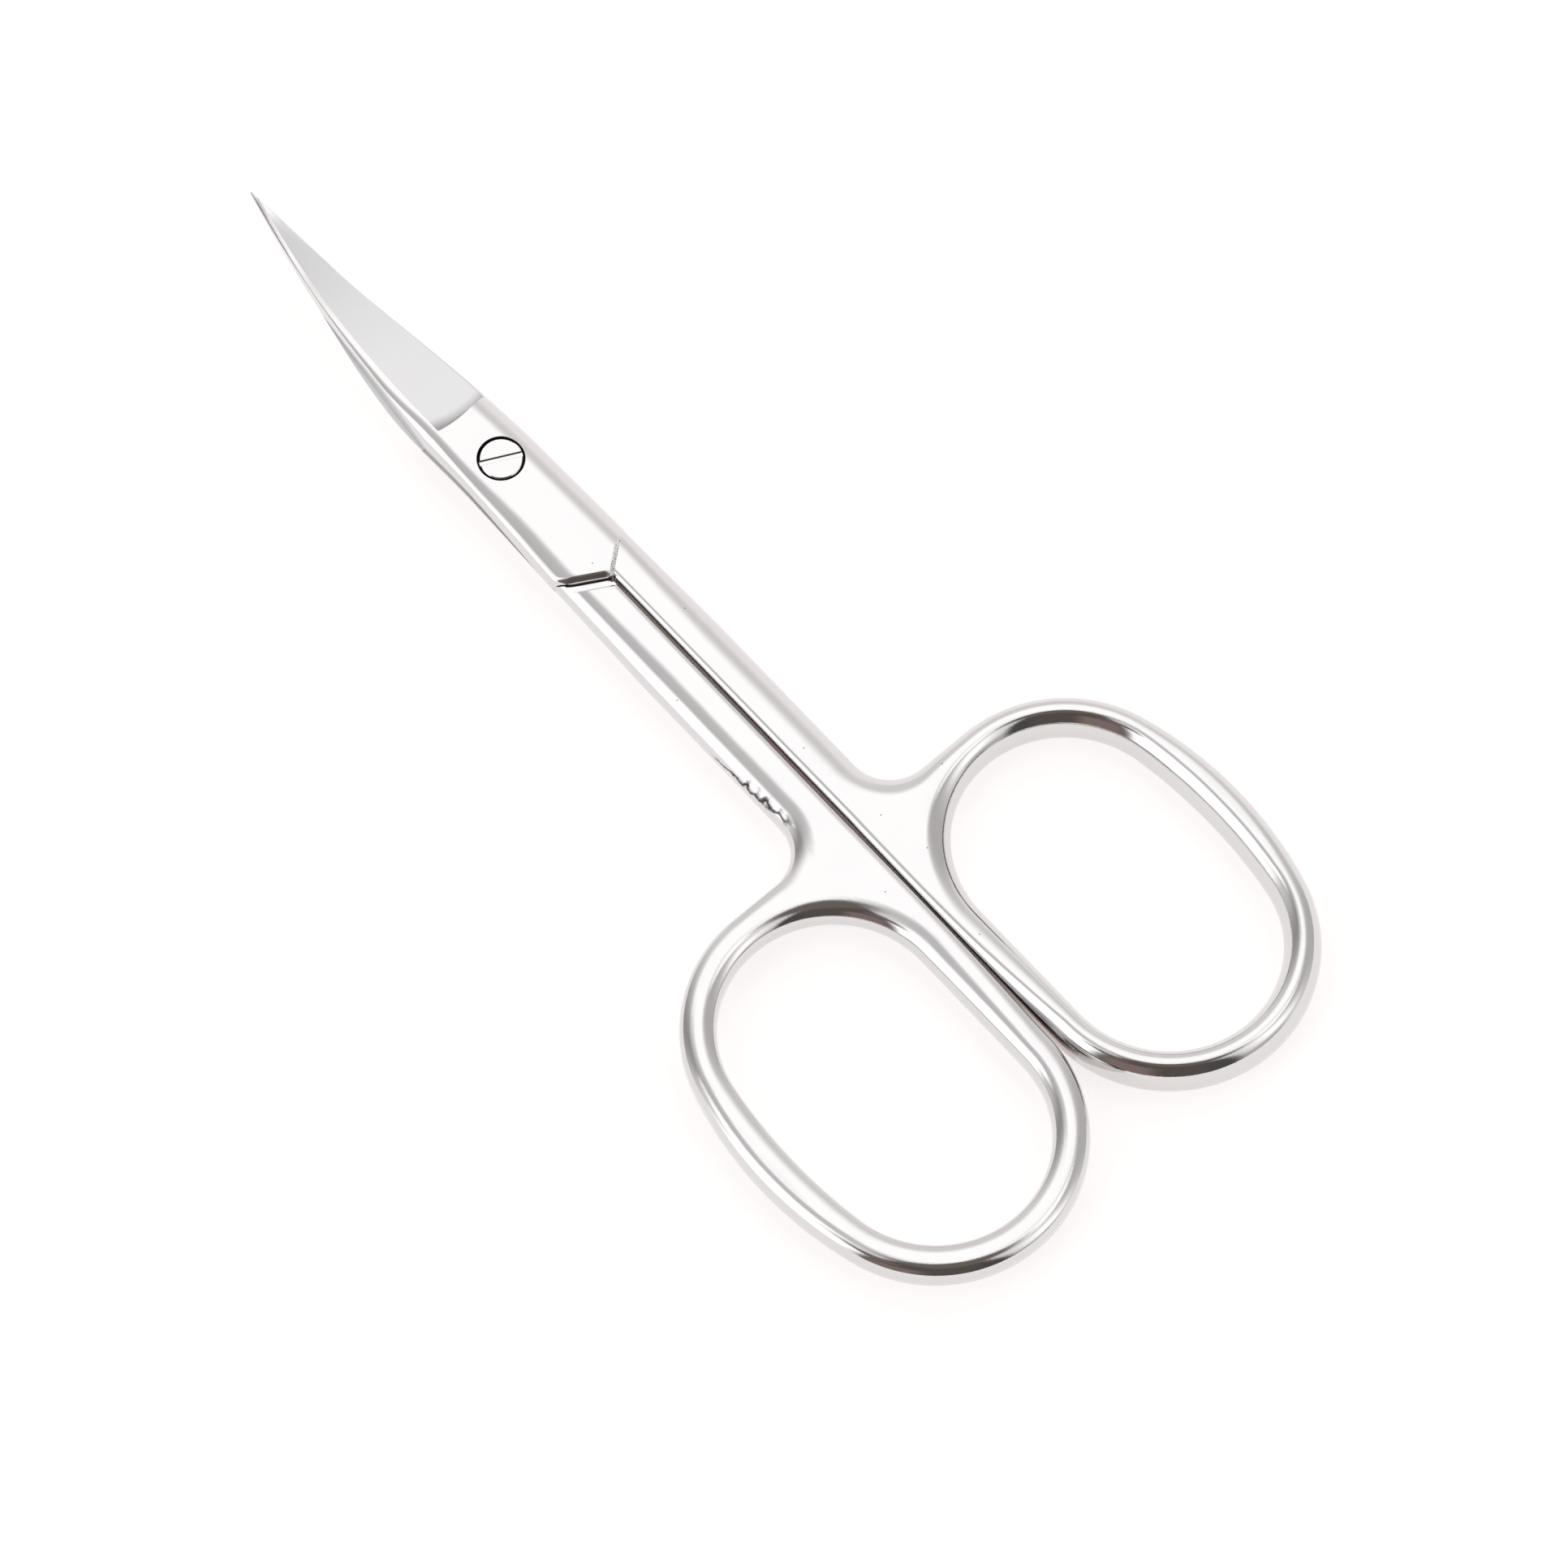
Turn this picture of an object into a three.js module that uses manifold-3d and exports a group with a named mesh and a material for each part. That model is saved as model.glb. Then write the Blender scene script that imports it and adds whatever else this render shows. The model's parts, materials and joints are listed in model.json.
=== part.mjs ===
// Curved eyebrow scissors: two forged halves that cross at a slotted pivot screw, shown closed.
// Millimetres, +Z up. The origin is on the pivot axis at the underside of the joint and +X points
// to the blade tips. The upper half has its finger ring at -Y and the lower half has its at +Y.

import * as THREE from 'three';
import { mergeVertices } from 'three/addons/utils/BufferGeometryUtils.js';
import Module from 'manifold-3d';

const wasm = await Module();
wasm.setup();

// Reach of the scissors from the pivot
const HANDLE_LENGTH = 64.4; // pivot to the rear of the rings
const BLADE_LENGTH = 25.2; // pivot to the tips

// Finger rings and shanks
const RING_HOLE_LENGTH = 24.9;
const RING_HOLE_WIDTH = 15.55;
const RING_SIDE_BULGE = 0.4; // how far the outer side of the hole bows out
const RING_BAR = 2.45; // width of the metal round the hole
const RING_SIDE_BAR = 2.75; // its width at the outer side
const RING_ROUND = 1.15; // edge rounding of the ring, across the bar
const RING_WEB_ROUND = 1.6; // of its hole, beside the web
const GRIP_GAP = 0.3; // between the two halves when closed
const SHANK_WIDTH = 3.17;
const SHANK_THICKNESS = 3.0;
const SHANK_OUTER_ROUND = 1.9;
const SHANK_INNER_ROUND = 0.4;
const SHANK_TAPER_START = 18; // distance behind the pivot where the shank begins to narrow
const WEB_FILLET = 3.1; // inside corner between shank and ring
const ROUND_ASPECT = 1.2; // height of an edge rounding for its width
const ROUND_LIMIT = 0.96; // most of the half thickness that a rounding takes

// Joint: each half narrows to a flat leaf, behind a V shoulder
const LEAF_THICKNESS = 1.75;
const LEAF_CLEARANCE = 0.1; // between the two leaves
const LEAF_FRONT_WIDTH = 2.84; // axis to the outer side at the blade
const LEAF_INNER_SETBACK = 0.12; // how far its other side draws in there
const LEAF_OUTER_ROUND = 1.6;
const LEAF_OUTER_HEIGHT = 1.45;
const LEAF_INNER_ROUND = 1.05;
const LEAF_INNER_HEIGHT = 0.5;
const LEAF_PROUD = 0.02; // leaf past the shank at the outer side
const V_APEX = 11.3; // pivot to the point of the V
const V_HALF_ANGLE = THREE.MathUtils.degToRad(51);
const V_BEVEL = 0.28; // width of the sloped step from shank to leaf
const STEP_RELIEF = 0.2; // free space between a leaf's end and the other shank
const STEP_CHAMFER = 0.5;
const STEP_CHAMFER_HEIGHT = 0.3;
const BEVEL_OVERRUN = 2; // lengths by which a bevel's cut runs past it at either end

// Blades, ground on the outside and curved up
const SHOULDER = 4.1; // pivot to the end of the polished leaf
const SHOULDER_RUN = 0.5; // length of the hollow slope down to the ground face
const WHEEL_RADIUS = 8; // of the grinding that leaves the shoulder bowed in plan
const BOW_FADE = 6; // distance over which the bow dies out
const SPINE_FALL = 1.4; // how fast the spine thins from the leaf to the tip
const SPINE_STRIP = 0.95; // polished strip left along the spine, at the heel
const SPINE_STRIP_TIP = 0.33;
const SPINE_ROUND = 0.22;
const SPINE_BLEND = 6; // length over which the leaf's side turns into the spine
const EDGE_THICKNESS = 0.1;
const EDGE_BEVEL = 0.12; // width of the honed bevel along the cutting edge
const TIP_WIDTH = 0.1; // axis to either side at the tip
const TIP_THICKNESS = 0.4;
const HEEL_RUN = 6.6; // length over which the sides run on from the heel
const EDGE_HEEL_TAPER = THREE.MathUtils.degToRad(0.3);
const SPINE_HEEL_TAPER = THREE.MathUtils.degToRad(6.8);
const TIP_RUN = 9.8; // length over which the sides run straight to the tip
const EDGE_TIP_TAPER = THREE.MathUtils.degToRad(7.2);
const SPINE_TIP_TAPER = THREE.MathUtils.degToRad(10.2);
const SIDE_SET = 0.18; // sideways set of both blades
const SIDE_SET_RUN = 9;
const SIDE_BOW = 0.16; // how far their middle bows the same way
const CURVE_START = 5; // pivot to the start of the upward curve
const CURVE_RADIUS = 59;

// Pivot screw
const SCREW_HEAD_RADIUS = 1.46;
const SCREW_HEAD_HEIGHT = 0.9;
const SCREW_NECK_RADIUS = 1.0;
const SCREW_EDGE_BREAK = 0.08;
const SLOT_WIDTH = 0.33;
const SLOT_DEPTH = 0.3;
const SLOT_ANGLE = THREE.MathUtils.degToRad(63);
const HEAD_CLEARANCE = 0.22; // round the head, in its counterbore
const SEAT_CLEARANCE = 0.05; // under the head
const NECK_CLEARANCE = 0.1; // running fit in the upper half
const THREAD_CLEARANCE = 0.05; // fit in the lower half

// Fineness of the curved surfaces
const RING_END_STEPS = 20;
const RING_SIDE_STEPS = 8;
const FILLET_STEPS = 8;
const ROUND_STEPS = 4;
const SIDE_ROUND_STEPS = 5;
const BLADE_STEPS = 16;
const SCREW_SIDES = 40;
const GRIP_SIDE_STEPS = 4;
const FLAT_STEPS = 3;
const SHOULDER_STEPS = 3;
const SEARCH_STEPS = 40;
const MERGE_DISTANCE = 1e-5;

// Finishes
const POLISHED_STEEL = { color: 0xe4e4e6, roughness: 0.12, metalness: 1 };
const SCREW_STEEL = { color: 0xdcdcde, roughness: 0.2, metalness: 1 };

// Sizes that follow. Heights are measured from the middle plane, where the leaves part.
const innerFace = LEAF_CLEARANCE / 2;
const leafTop = innerFace + LEAF_THICKNESS;
const shankTop = SHANK_THICKNESS / 2;
const shankInner = GRIP_GAP / 2;
const shankOuter = shankInner + SHANK_WIDTH;
const holeRear = RING_BAR - HANDLE_LENGTH;
const holeFront = holeRear + RING_HOLE_LENGTH;
const ringFront = holeFront + RING_BAR;
const holeEndRadius = (RING_HOLE_WIDTH - RING_SIDE_BULGE) / 2;
const ringAxis = shankInner + RING_BAR + holeEndRadius;
const edgeHeel = LEAF_FRONT_WIDTH + LEAF_PROUD;
const spineHeel = LEAF_FRONT_WIDTH - LEAF_INNER_SETBACK;
const cutReach = HANDLE_LENGTH + BLADE_LENGTH;

const { lerp, smoothstep, clamp } = THREE.MathUtils;

// Solid from a closed geometry whose shared corners are merged.
function toSolid(geometry) {
  const bare = geometry.clone();
  bare.deleteAttribute('normal');
  bare.deleteAttribute('uv');
  const merged = mergeVertices(bare, MERGE_DISTANCE);
  const vertProperties = new Float32Array(merged.getAttribute('position').array);
  const triVerts = new Uint32Array(merged.getIndex().array);
  return new wasm.Manifold(new wasm.Mesh({ numProp: 3, vertProperties, triVerts }));
}

function toGeometry(solid) {
  const mesh = solid.getMesh();
  const geometry = new THREE.BufferGeometry();
  geometry.setAttribute('position', new THREE.BufferAttribute(mesh.vertProperties, 3));
  geometry.setIndex(new THREE.BufferAttribute(mesh.triVerts, 1));
  geometry.computeVertexNormals();
  return geometry;
}

function meshGeometry(positions, indices) {
  const geometry = new THREE.BufferGeometry();
  geometry.setAttribute('position', new THREE.Float32BufferAttribute(positions, 3));
  geometry.setIndex(indices);
  return geometry;
}

function arcPoints(x, y, radius, start, end, steps) {
  return new THREE.EllipseCurve(x, y, radius, radius, start, end, end < start).getPoints(steps);
}

// Even shares from 0 to 1, both ends included.
function shares(steps) {
  return Array.from({ length: steps + 1 }, (_, i) => i / steps);
}

// Outline points whose edge rounding grows from one value to another, or stays the same.
function withRound(points, round, lastRound = round) {
  const along = shares(points.length - 1);
  return points.map((point, i) => ({ point, round: THREE.MathUtils.lerp(round, lastRound, along[i]) }));
}

// Unit vectors square to a closed loop, pointing to the left of its run.
function leftNormals(points) {
  return points.map((point, i) => {
    const before = points.at(i - 1);
    const after = points[(i + 1) % points.length];
    const run = new THREE.Vector2().subVectors(point, before).normalize();
    run.add(new THREE.Vector2().subVectors(after, point).normalize()).normalize();
    return new THREE.Vector2(-run.y, run.x);
  });
}

// Flat slab with rounded edges. The outline runs anticlockwise and the hole clockwise, so the
// metal is on the left of both.
function roundedSlab(outline, hole, top) {
  const positions = [];
  const indices = [];
  const topRims = [];
  const bottomRims = [];
  for (const loop of [outline, hole]) {
    const points = loop.map((entry) => entry.point);
    const normals = leftNormals(points);
    const levels = 2 * (ROUND_STEPS + 1);
    const first = positions.length / 3;
    for (let level = 0; level < levels; level += 1) {
      const upper = level > ROUND_STEPS;
      const step = upper ? level - ROUND_STEPS - 1 : ROUND_STEPS - level;
      const angle = (step / ROUND_STEPS) * (Math.PI / 2);
      loop.forEach(({ point, round }, i) => {
        const height = Math.min(round * ROUND_ASPECT, ROUND_LIMIT * top);
        const inset = round * (1 - Math.cos(angle));
        const z = top - height * (1 - Math.sin(angle));
        const place = point.clone().addScaledVector(normals[i], inset);
        positions.push(place.x, place.y, upper ? z : -z);
      });
    }
    const count = loop.length;
    for (let level = 0; level < levels - 1; level += 1) {
      for (let i = 0; i < count; i += 1) {
        const a = first + level * count + i;
        const b = first + level * count + ((i + 1) % count);
        indices.push(a, b, b + count, a, b + count, a + count);
      }
    }
    bottomRims.push({ first, count });
    topRims.push({ first: first + (levels - 1) * count, count });
  }
  const rimPoint = (index) => new THREE.Vector2(positions[3 * index], positions[3 * index + 1]);
  const cap = (rims, flip) => {
    const ids = rims.map(({ first, count }) => Array.from({ length: count }, (_, i) => first + i));
    const loops = ids.map((loop) => loop.map(rimPoint));
    const flat = ids.flat();
    for (const [a, b, c] of THREE.ShapeUtils.triangulateShape(loops[0], [loops[1]])) {
      indices.push(flat[a], flip ? flat[c] : flat[b], flip ? flat[b] : flat[c]);
    }
  };
  cap(topRims, false);
  cap(bottomRims, true);
  return meshGeometry(positions, indices);
}

// Solid skin over sections that hold the same number of corners, with a fan on each end.
function loft(sections) {
  const count = sections[0].length;
  const positions = sections.flat().flatMap((corner) => corner.toArray());
  const indices = [];
  for (let s = 0; s < sections.length - 1; s += 1) {
    for (let i = 0; i < count; i += 1) {
      const a = s * count + i;
      const b = s * count + ((i + 1) % count);
      indices.push(a, b, b + count, a, b + count, a + count);
    }
  }
  const last = (sections.length - 1) * count;
  for (let i = 1; i < count - 1; i += 1) {
    indices.push(0, i + 1, i);
    indices.push(last, last + i, last + i + 1);
  }
  return meshGeometry(positions, indices);
}

// Distance from the axis to the outer side of a shank and its leaf.
function outerSide(x) {
  const along = clamp((x + SHANK_TAPER_START) / (SHOULDER + SHANK_TAPER_START), 0, 1);
  return lerp(shankOuter, LEAF_FRONT_WIDTH, along);
}

// Outline of the four-arc hole, or of the ring when offset outwards at its ends and its outer side,
// from the rear of the axis side clockwise to the front of it.
function ringRun(endOffset, sideOffset) {
  const rearX = holeRear + holeEndRadius;
  const frontX = holeFront - holeEndRadius;
  const middleX = (rearX + frontX) / 2;
  const reach = (frontX - rearX) / 2;
  const end = holeEndRadius + endOffset;
  const rise = RING_HOLE_WIDTH - holeEndRadius + sideOffset;
  const sideRadius = (reach ** 2 + rise ** 2 - end ** 2) / (2 * (rise - end));
  const sideY = ringAxis + rise - sideRadius;
  const turn = Math.atan2(reach, ringAxis - sideY);
  const up = Math.PI / 2;
  return {
    rear: arcPoints(rearX, ringAxis, end, 3 * up, up + turn, RING_END_STEPS),
    side: arcPoints(middleX, sideY, sideRadius, up + turn, up - turn, RING_SIDE_STEPS),
    front: arcPoints(frontX, ringAxis, end, up - turn, 0, RING_END_STEPS / 2),
    frontReturn: arcPoints(frontX, ringAxis, end, 0, -up, RING_END_STEPS / 2),
  };
}

// Shank with its finger ring, the ring drawn on the +Y side and then turned to -Y.
function handle() {
  const ring = ringRun(RING_BAR, RING_SIDE_BAR);
  const hole = ringRun(0, 0);
  const shankFront = -V_APEX / 2;
  const axisStart = holeRear + holeEndRadius;
  const axisPoints = shares(GRIP_SIDE_STEPS).map((share) => ({
    point: new THREE.Vector2(lerp(ringFront, axisStart, share), shankInner),
    round: lerp(SHANK_INNER_ROUND, RING_ROUND, share),
  }));
  const filletX = ringFront + WEB_FILLET;
  const filletY = shankOuter + WEB_FILLET;
  const fillet = arcPoints(filletX, filletY, WEB_FILLET, Math.PI, 1.5 * Math.PI, FILLET_STEPS);
  const shankSide = [-SHANK_TAPER_START, shankFront].map((x) => new THREE.Vector2(x, outerSide(x)));
  const clockwise = [
    { point: new THREE.Vector2(shankFront, shankInner), round: SHANK_INNER_ROUND },
    ...axisPoints,
    ...withRound(ring.rear.slice(1), RING_ROUND),
    ...withRound(ring.side.slice(1), RING_ROUND),
    ...withRound(ring.front.slice(1), RING_ROUND),
    ...withRound(fillet, RING_ROUND, SHANK_OUTER_ROUND),
    ...withRound(shankSide, SHANK_OUTER_ROUND),
  ];
  const holeRun = [
    ...withRound(hole.rear, RING_ROUND),
    ...withRound(hole.side.slice(1), RING_ROUND),
    ...withRound(hole.front.slice(1), RING_ROUND),
    ...withRound(hole.frontReturn.slice(1), RING_ROUND, RING_WEB_ROUND),
  ];
  const overX = ({ point, round }) => ({ point: new THREE.Vector2(point.x, -point.y), round });
  const outline = clockwise.map(overX);
  const opening = holeRun.map(overX).reverse();
  return roundedSlab(outline, opening, shankTop);
}

// Side of a blade in plan, as a distance from its middle line.
function bladeSide(heelWidth, heelTaper, tipTaper) {
  return new THREE.CubicBezierCurve(
    new THREE.Vector2(SHOULDER, heelWidth),
    new THREE.Vector2(SHOULDER + HEEL_RUN, heelWidth - HEEL_RUN * Math.tan(heelTaper)),
    new THREE.Vector2(BLADE_LENGTH - TIP_RUN, TIP_WIDTH + TIP_RUN * Math.tan(tipTaper)),
    new THREE.Vector2(BLADE_LENGTH, TIP_WIDTH),
  );
}

const edgeSide = bladeSide(edgeHeel, EDGE_HEEL_TAPER, EDGE_TIP_TAPER);
const spineSide = bladeSide(spineHeel, SPINE_HEEL_TAPER, SPINE_TIP_TAPER);

// Height of a curve that runs steadily forward, at one x.
function heightAt(curve, x) {
  let low = 0;
  let high = 1;
  for (let i = 0; i < SEARCH_STEPS; i += 1) {
    const middle = (low + high) / 2;
    if (curve.getPoint(middle).x < x) low = middle;
    else high = middle;
  }
  return curve.getPoint(low).y;
}

// Corners of a quarter round that leaves the top at a side: from the top out to the side, or back.
function sideRound(side, width, top, height, towardsTop) {
  const sign = Math.sign(side);
  return shares(SIDE_ROUND_STEPS).map((share) => {
    const angle = (towardsTop ? 1 - share : share) * (Math.PI / 2);
    const y = side - sign * width * (1 - Math.sin(angle));
    return [y, top - height * (1 - Math.cos(angle))];
  });
}

// Side of the leaf that lies over the other half.
function innerSide(x) {
  const along = clamp((x + V_APEX) / (SHOULDER + V_APEX), 0, 1);
  return outerSide(x) - along * LEAF_INNER_SETBACK;
}

// Polished section of leaf or blade: outer side at -Y, flat top, inner side at +Y, flat mating face
// below. The top sinks along the blade and the inner side turns into the spine.
function polishedSection(x) {
  const onLeaf = x <= SHOULDER;
  const outer = onLeaf ? -outerSide(x) - LEAF_PROUD : -heightAt(edgeSide, x);
  const inner = onLeaf ? innerSide(x) : heightAt(spineSide, x);
  const left = clamp((BLADE_LENGTH - x) / (BLADE_LENGTH - SHOULDER), 0, 1);
  const thickness = lerp(TIP_THICKNESS, LEAF_THICKNESS, left ** SPINE_FALL);
  const top = innerFace + thickness;
  const thin = thickness / LEAF_THICKNESS;
  const narrow = Math.min(1, (inner - outer) / (edgeHeel + spineHeel));
  const outerRound = sideRound(outer, LEAF_OUTER_ROUND * narrow, top, LEAF_OUTER_HEIGHT * thin, true);
  const innerHeight = LEAF_INNER_HEIGHT * thin;
  const leafRound = sideRound(inner, LEAF_INNER_ROUND * narrow, top, innerHeight, false);
  const stripWidth = lerp(SPINE_STRIP_TIP, SPINE_STRIP, left ** 2) * narrow;
  const spineWidth = Math.min(SPINE_ROUND, stripWidth / 2);
  const strip = [inner - stripWidth, top];
  const spineRound = [strip, ...sideRound(inner, spineWidth, top, innerHeight, false).slice(1)];
  const turn = smoothstep(x, SHOULDER, SHOULDER + SPINE_BLEND);
  const innerRound = leafRound.map((corner, i) => mixCorner(corner, spineRound[i], turn));
  const flatStart = outerRound.at(-1);
  const flat = shares(FLAT_STEPS)
    .slice(1, -1)
    .map((share) => mixCorner(flatStart, innerRound[0], share));
  const bevel = EDGE_BEVEL * narrow;
  return { outer, inner, bevel, ground: [...outerRound, ...flat], innerRound };
}

function mixCorner(from, to, share) {
  return [lerp(from[0], to[0], share), lerp(from[1], to[1], share)];
}

// Whole section at one x. Grinding flattens it from the thin cutting edge up to the spine's strip,
// by a share that grows from nothing at the shoulder to full at the end of its hollow slope.
function halfSection(x) {
  const { outer, inner, bevel, ground, innerRound } = polishedSection(x);
  const slope = clamp((x - SHOULDER) / SHOULDER_RUN, 0, 1);
  const share = 1 - (1 - slope) ** 2;
  const edge = [outer + bevel, innerFace + EDGE_THICKNESS];
  const face = ground.map((corner) => {
    const across = (corner[0] - outer) / (innerRound[0][0] - outer);
    return mixCorner(corner, mixCorner(edge, innerRound[0], across), share);
  });
  const middle = [(outer + inner) / 2, innerFace];
  return [[outer, innerFace], ...face, ...innerRound, [inner, innerFace], middle];
}

// Leaf and blade in one skin, still straight. Near the shoulder the sections are bowed in plan.
function leafAndBlade() {
  const leafStations = [-V_APEX - STEP_RELIEF, -V_APEX / 2, 0, SHOULDER / 2, SHOULDER];
  const slopeEnd = SHOULDER + SHOULDER_RUN;
  const slopeStations = shares(SHOULDER_STEPS).slice(1, -1).map((share) => lerp(SHOULDER, slopeEnd, share));
  const bladeStations = shares(BLADE_STEPS).map((share) => lerp(slopeEnd, BLADE_LENGTH, share));
  const sections = [...leafStations, ...slopeStations, ...bladeStations].map((x) => {
    const near = 1 - smoothstep(Math.abs(x - SHOULDER), 0, BOW_FADE);
    const corners = halfSection(x).map(([y, z]) => {
      const bow = (near * y ** 2) / (2 * WHEEL_RADIUS);
      return new THREE.Vector3(x + bow, y, z);
    });
    return corners.reverse();
  });
  return loft(sections);
}

// Upright prism on one side of the V line, moved back from it by a clear distance.
function vPrism(setBack, towardsTip, bottom, top) {
  const apex = -V_APEX - setBack / Math.sin(V_HALF_ANGLE);
  const armX = apex + cutReach / Math.tan(V_HALF_ANGLE);
  const farX = towardsTip ? armX + cutReach : apex - cutReach;
  const shape = new THREE.Shape([
    new THREE.Vector2(apex, 0),
    new THREE.Vector2(armX, -cutReach),
    new THREE.Vector2(farX, -cutReach),
    new THREE.Vector2(farX, cutReach),
    new THREE.Vector2(armX, cutReach),
  ]);
  const prism = new THREE.ExtrudeGeometry(shape, { depth: top - bottom, bevelEnabled: false });
  return toSolid(prism.translate(0, 0, bottom));
}

// Wedge along the outer (-Y) arm of the V, for a bevel through two points of its section. A point
// gives the distance behind the arm, and the height. The wedge lies past the bevel's second point.
function armWedge(setBack, start, end) {
  const run = new THREE.Vector2().subVectors(end, start);
  const low = start.clone().addScaledVector(run, -BEVEL_OVERRUN);
  const high = end.clone().addScaledVector(run, BEVEL_OVERRUN);
  const arm = new THREE.Vector3(Math.cos(V_HALF_ANGLE), -Math.sin(V_HALF_ANGLE), 0);
  const back = new THREE.Vector3(-Math.sin(V_HALF_ANGLE), -Math.cos(V_HALF_ANGLE), 0);
  const up = new THREE.Vector3(0, 0, 1);
  const shape = new THREE.Shape([low, high, new THREE.Vector2(low.x, high.y)]);
  const wedge = new THREE.ExtrudeGeometry(shape, { depth: cutReach, bevelEnabled: false });
  const armEnd = new THREE.Vector3(-V_APEX - setBack / Math.sin(V_HALF_ANGLE), 0, 0);
  armEnd.addScaledVector(arm, cutReach);
  const place = new THREE.Matrix4().makeBasis(back, up, arm.clone().negate()).setPosition(armEnd);
  return toSolid(wedge.applyMatrix4(place));
}

// One half before its blade is curved, lying as the upper half does.
function straightHalf() {
  const bevelStart = new THREE.Vector2(0, shankTop);
  const bevelEnd = new THREE.Vector2(-V_BEVEL, leafTop);
  const leaf = toSolid(leafAndBlade())
    .subtract(vPrism(0, false, -cutReach, cutReach))
    .subtract(armWedge(0, bevelStart, bevelEnd));
  const chamferStart = new THREE.Vector2(0, STEP_CHAMFER_HEIGHT - shankTop);
  const chamferEnd = new THREE.Vector2(STEP_CHAMFER, -shankTop);
  const shank = toSolid(handle())
    .subtract(vPrism(STEP_RELIEF, true, -cutReach, innerFace))
    .subtract(armWedge(STEP_RELIEF, chamferStart, chamferEnd));
  return toGeometry(shank.add(leaf));
}

// Sets the blade a little sideways and curves it up. The height depends only on the distance from
// the pivot, so the mating faces slide past each other at every opening angle.
function curveBlade(geometry) {
  const place = geometry.getAttribute('position');
  for (let i = 0; i < place.count; i += 1) {
    const x = place.getX(i);
    if (x > 0) {
      const bow = SIDE_BOW * Math.sin((Math.PI * x) / BLADE_LENGTH);
      const y = place.getY(i) + SIDE_SET * smoothstep(x, 0, SIDE_SET_RUN) + bow;
      const rise = Math.max(Math.hypot(x, y) - CURVE_START, 0) ** 2 / (2 * CURVE_RADIUS);
      place.setXYZ(i, x, y, place.getZ(i) + rise);
    }
  }
  return geometry;
}

// Round bar along the pivot axis, for holes.
function pivotBar(radius, bottom, top) {
  const bar = new THREE.CylinderGeometry(radius, radius, top - bottom, SCREW_SIDES);
  return toSolid(bar.rotateX(Math.PI / 2).translate(0, 0, (top + bottom) / 2));
}

function upperHalf() {
  const seat = leafTop - SCREW_HEAD_HEIGHT - SEAT_CLEARANCE;
  const counterbore = pivotBar(SCREW_HEAD_RADIUS + HEAD_CLEARANCE, seat, cutReach);
  const bore = pivotBar(SCREW_NECK_RADIUS + NECK_CLEARANCE, -cutReach, cutReach);
  return toGeometry(toSolid(curveBlade(straightHalf())).subtract(counterbore).subtract(bore));
}

// The lower half is the same forging turned over before its blade is curved.
function lowerHalf() {
  const turned = straightHalf().rotateX(Math.PI);
  const hole = pivotBar(SCREW_NECK_RADIUS + THREAD_CLEARANCE, -cutReach, cutReach);
  return toGeometry(toSolid(curveBlade(turned)).subtract(hole));
}

// Screw with a slotted head flush with the upper leaf, its end ground flush with the lower leaf.
function pivotScrew() {
  const seat = leafTop - SCREW_HEAD_HEIGHT;
  const profile = [
    [0, -leafTop],
    [SCREW_NECK_RADIUS, -leafTop],
    [SCREW_NECK_RADIUS, seat],
    [SCREW_HEAD_RADIUS, seat],
    [SCREW_HEAD_RADIUS, leafTop - SCREW_EDGE_BREAK],
    [SCREW_HEAD_RADIUS - SCREW_EDGE_BREAK, leafTop],
    [0, leafTop],
  ].map(([radius, height]) => new THREE.Vector2(radius, height));
  const turned = new THREE.LatheGeometry(profile, SCREW_SIDES).rotateX(Math.PI / 2);
  const slot = new THREE.BoxGeometry(cutReach, SLOT_WIDTH, 2 * SLOT_DEPTH);
  slot.rotateZ(SLOT_ANGLE).translate(0, 0, leafTop);
  return toGeometry(toSolid(turned).subtract(toSolid(slot)));
}

function piece(name, geometry, finish) {
  const mesh = new THREE.Mesh(geometry, new THREE.MeshStandardMaterial(finish));
  mesh.name = name;
  return mesh;
}

const scissors = new THREE.Group();
scissors.add(piece('upper_half', upperHalf(), POLISHED_STEEL));
scissors.add(piece('lower_half', lowerHalf(), POLISHED_STEEL));
scissors.add(piece('pivot_screw', pivotScrew(), SCREW_STEEL));
scissors.position.z = leafTop;

export default scissors;
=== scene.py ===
import json
import math

import bmesh
import bpy
from mathutils import Matrix, Vector
from mathutils.geometry import tessellate_polygon


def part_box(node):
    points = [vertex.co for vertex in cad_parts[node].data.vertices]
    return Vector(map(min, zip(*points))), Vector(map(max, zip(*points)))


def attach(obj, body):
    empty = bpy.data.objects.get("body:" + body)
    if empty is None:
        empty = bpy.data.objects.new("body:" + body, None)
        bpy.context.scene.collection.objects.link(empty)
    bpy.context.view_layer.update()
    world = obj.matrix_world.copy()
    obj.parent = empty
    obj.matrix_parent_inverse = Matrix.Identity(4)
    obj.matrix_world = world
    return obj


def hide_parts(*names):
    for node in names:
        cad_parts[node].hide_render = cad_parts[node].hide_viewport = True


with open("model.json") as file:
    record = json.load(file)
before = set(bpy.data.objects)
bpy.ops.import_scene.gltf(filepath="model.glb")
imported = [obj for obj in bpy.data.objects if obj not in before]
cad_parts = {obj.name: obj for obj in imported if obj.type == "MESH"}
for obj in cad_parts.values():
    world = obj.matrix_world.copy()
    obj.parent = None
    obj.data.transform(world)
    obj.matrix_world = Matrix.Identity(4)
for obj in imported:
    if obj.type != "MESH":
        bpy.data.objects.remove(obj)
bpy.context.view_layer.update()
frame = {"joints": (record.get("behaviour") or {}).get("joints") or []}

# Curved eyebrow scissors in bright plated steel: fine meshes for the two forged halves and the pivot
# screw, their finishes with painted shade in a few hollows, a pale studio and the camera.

MM = 0.001  # shapes are worked out in millimetres and scaled to metres at the end

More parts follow.
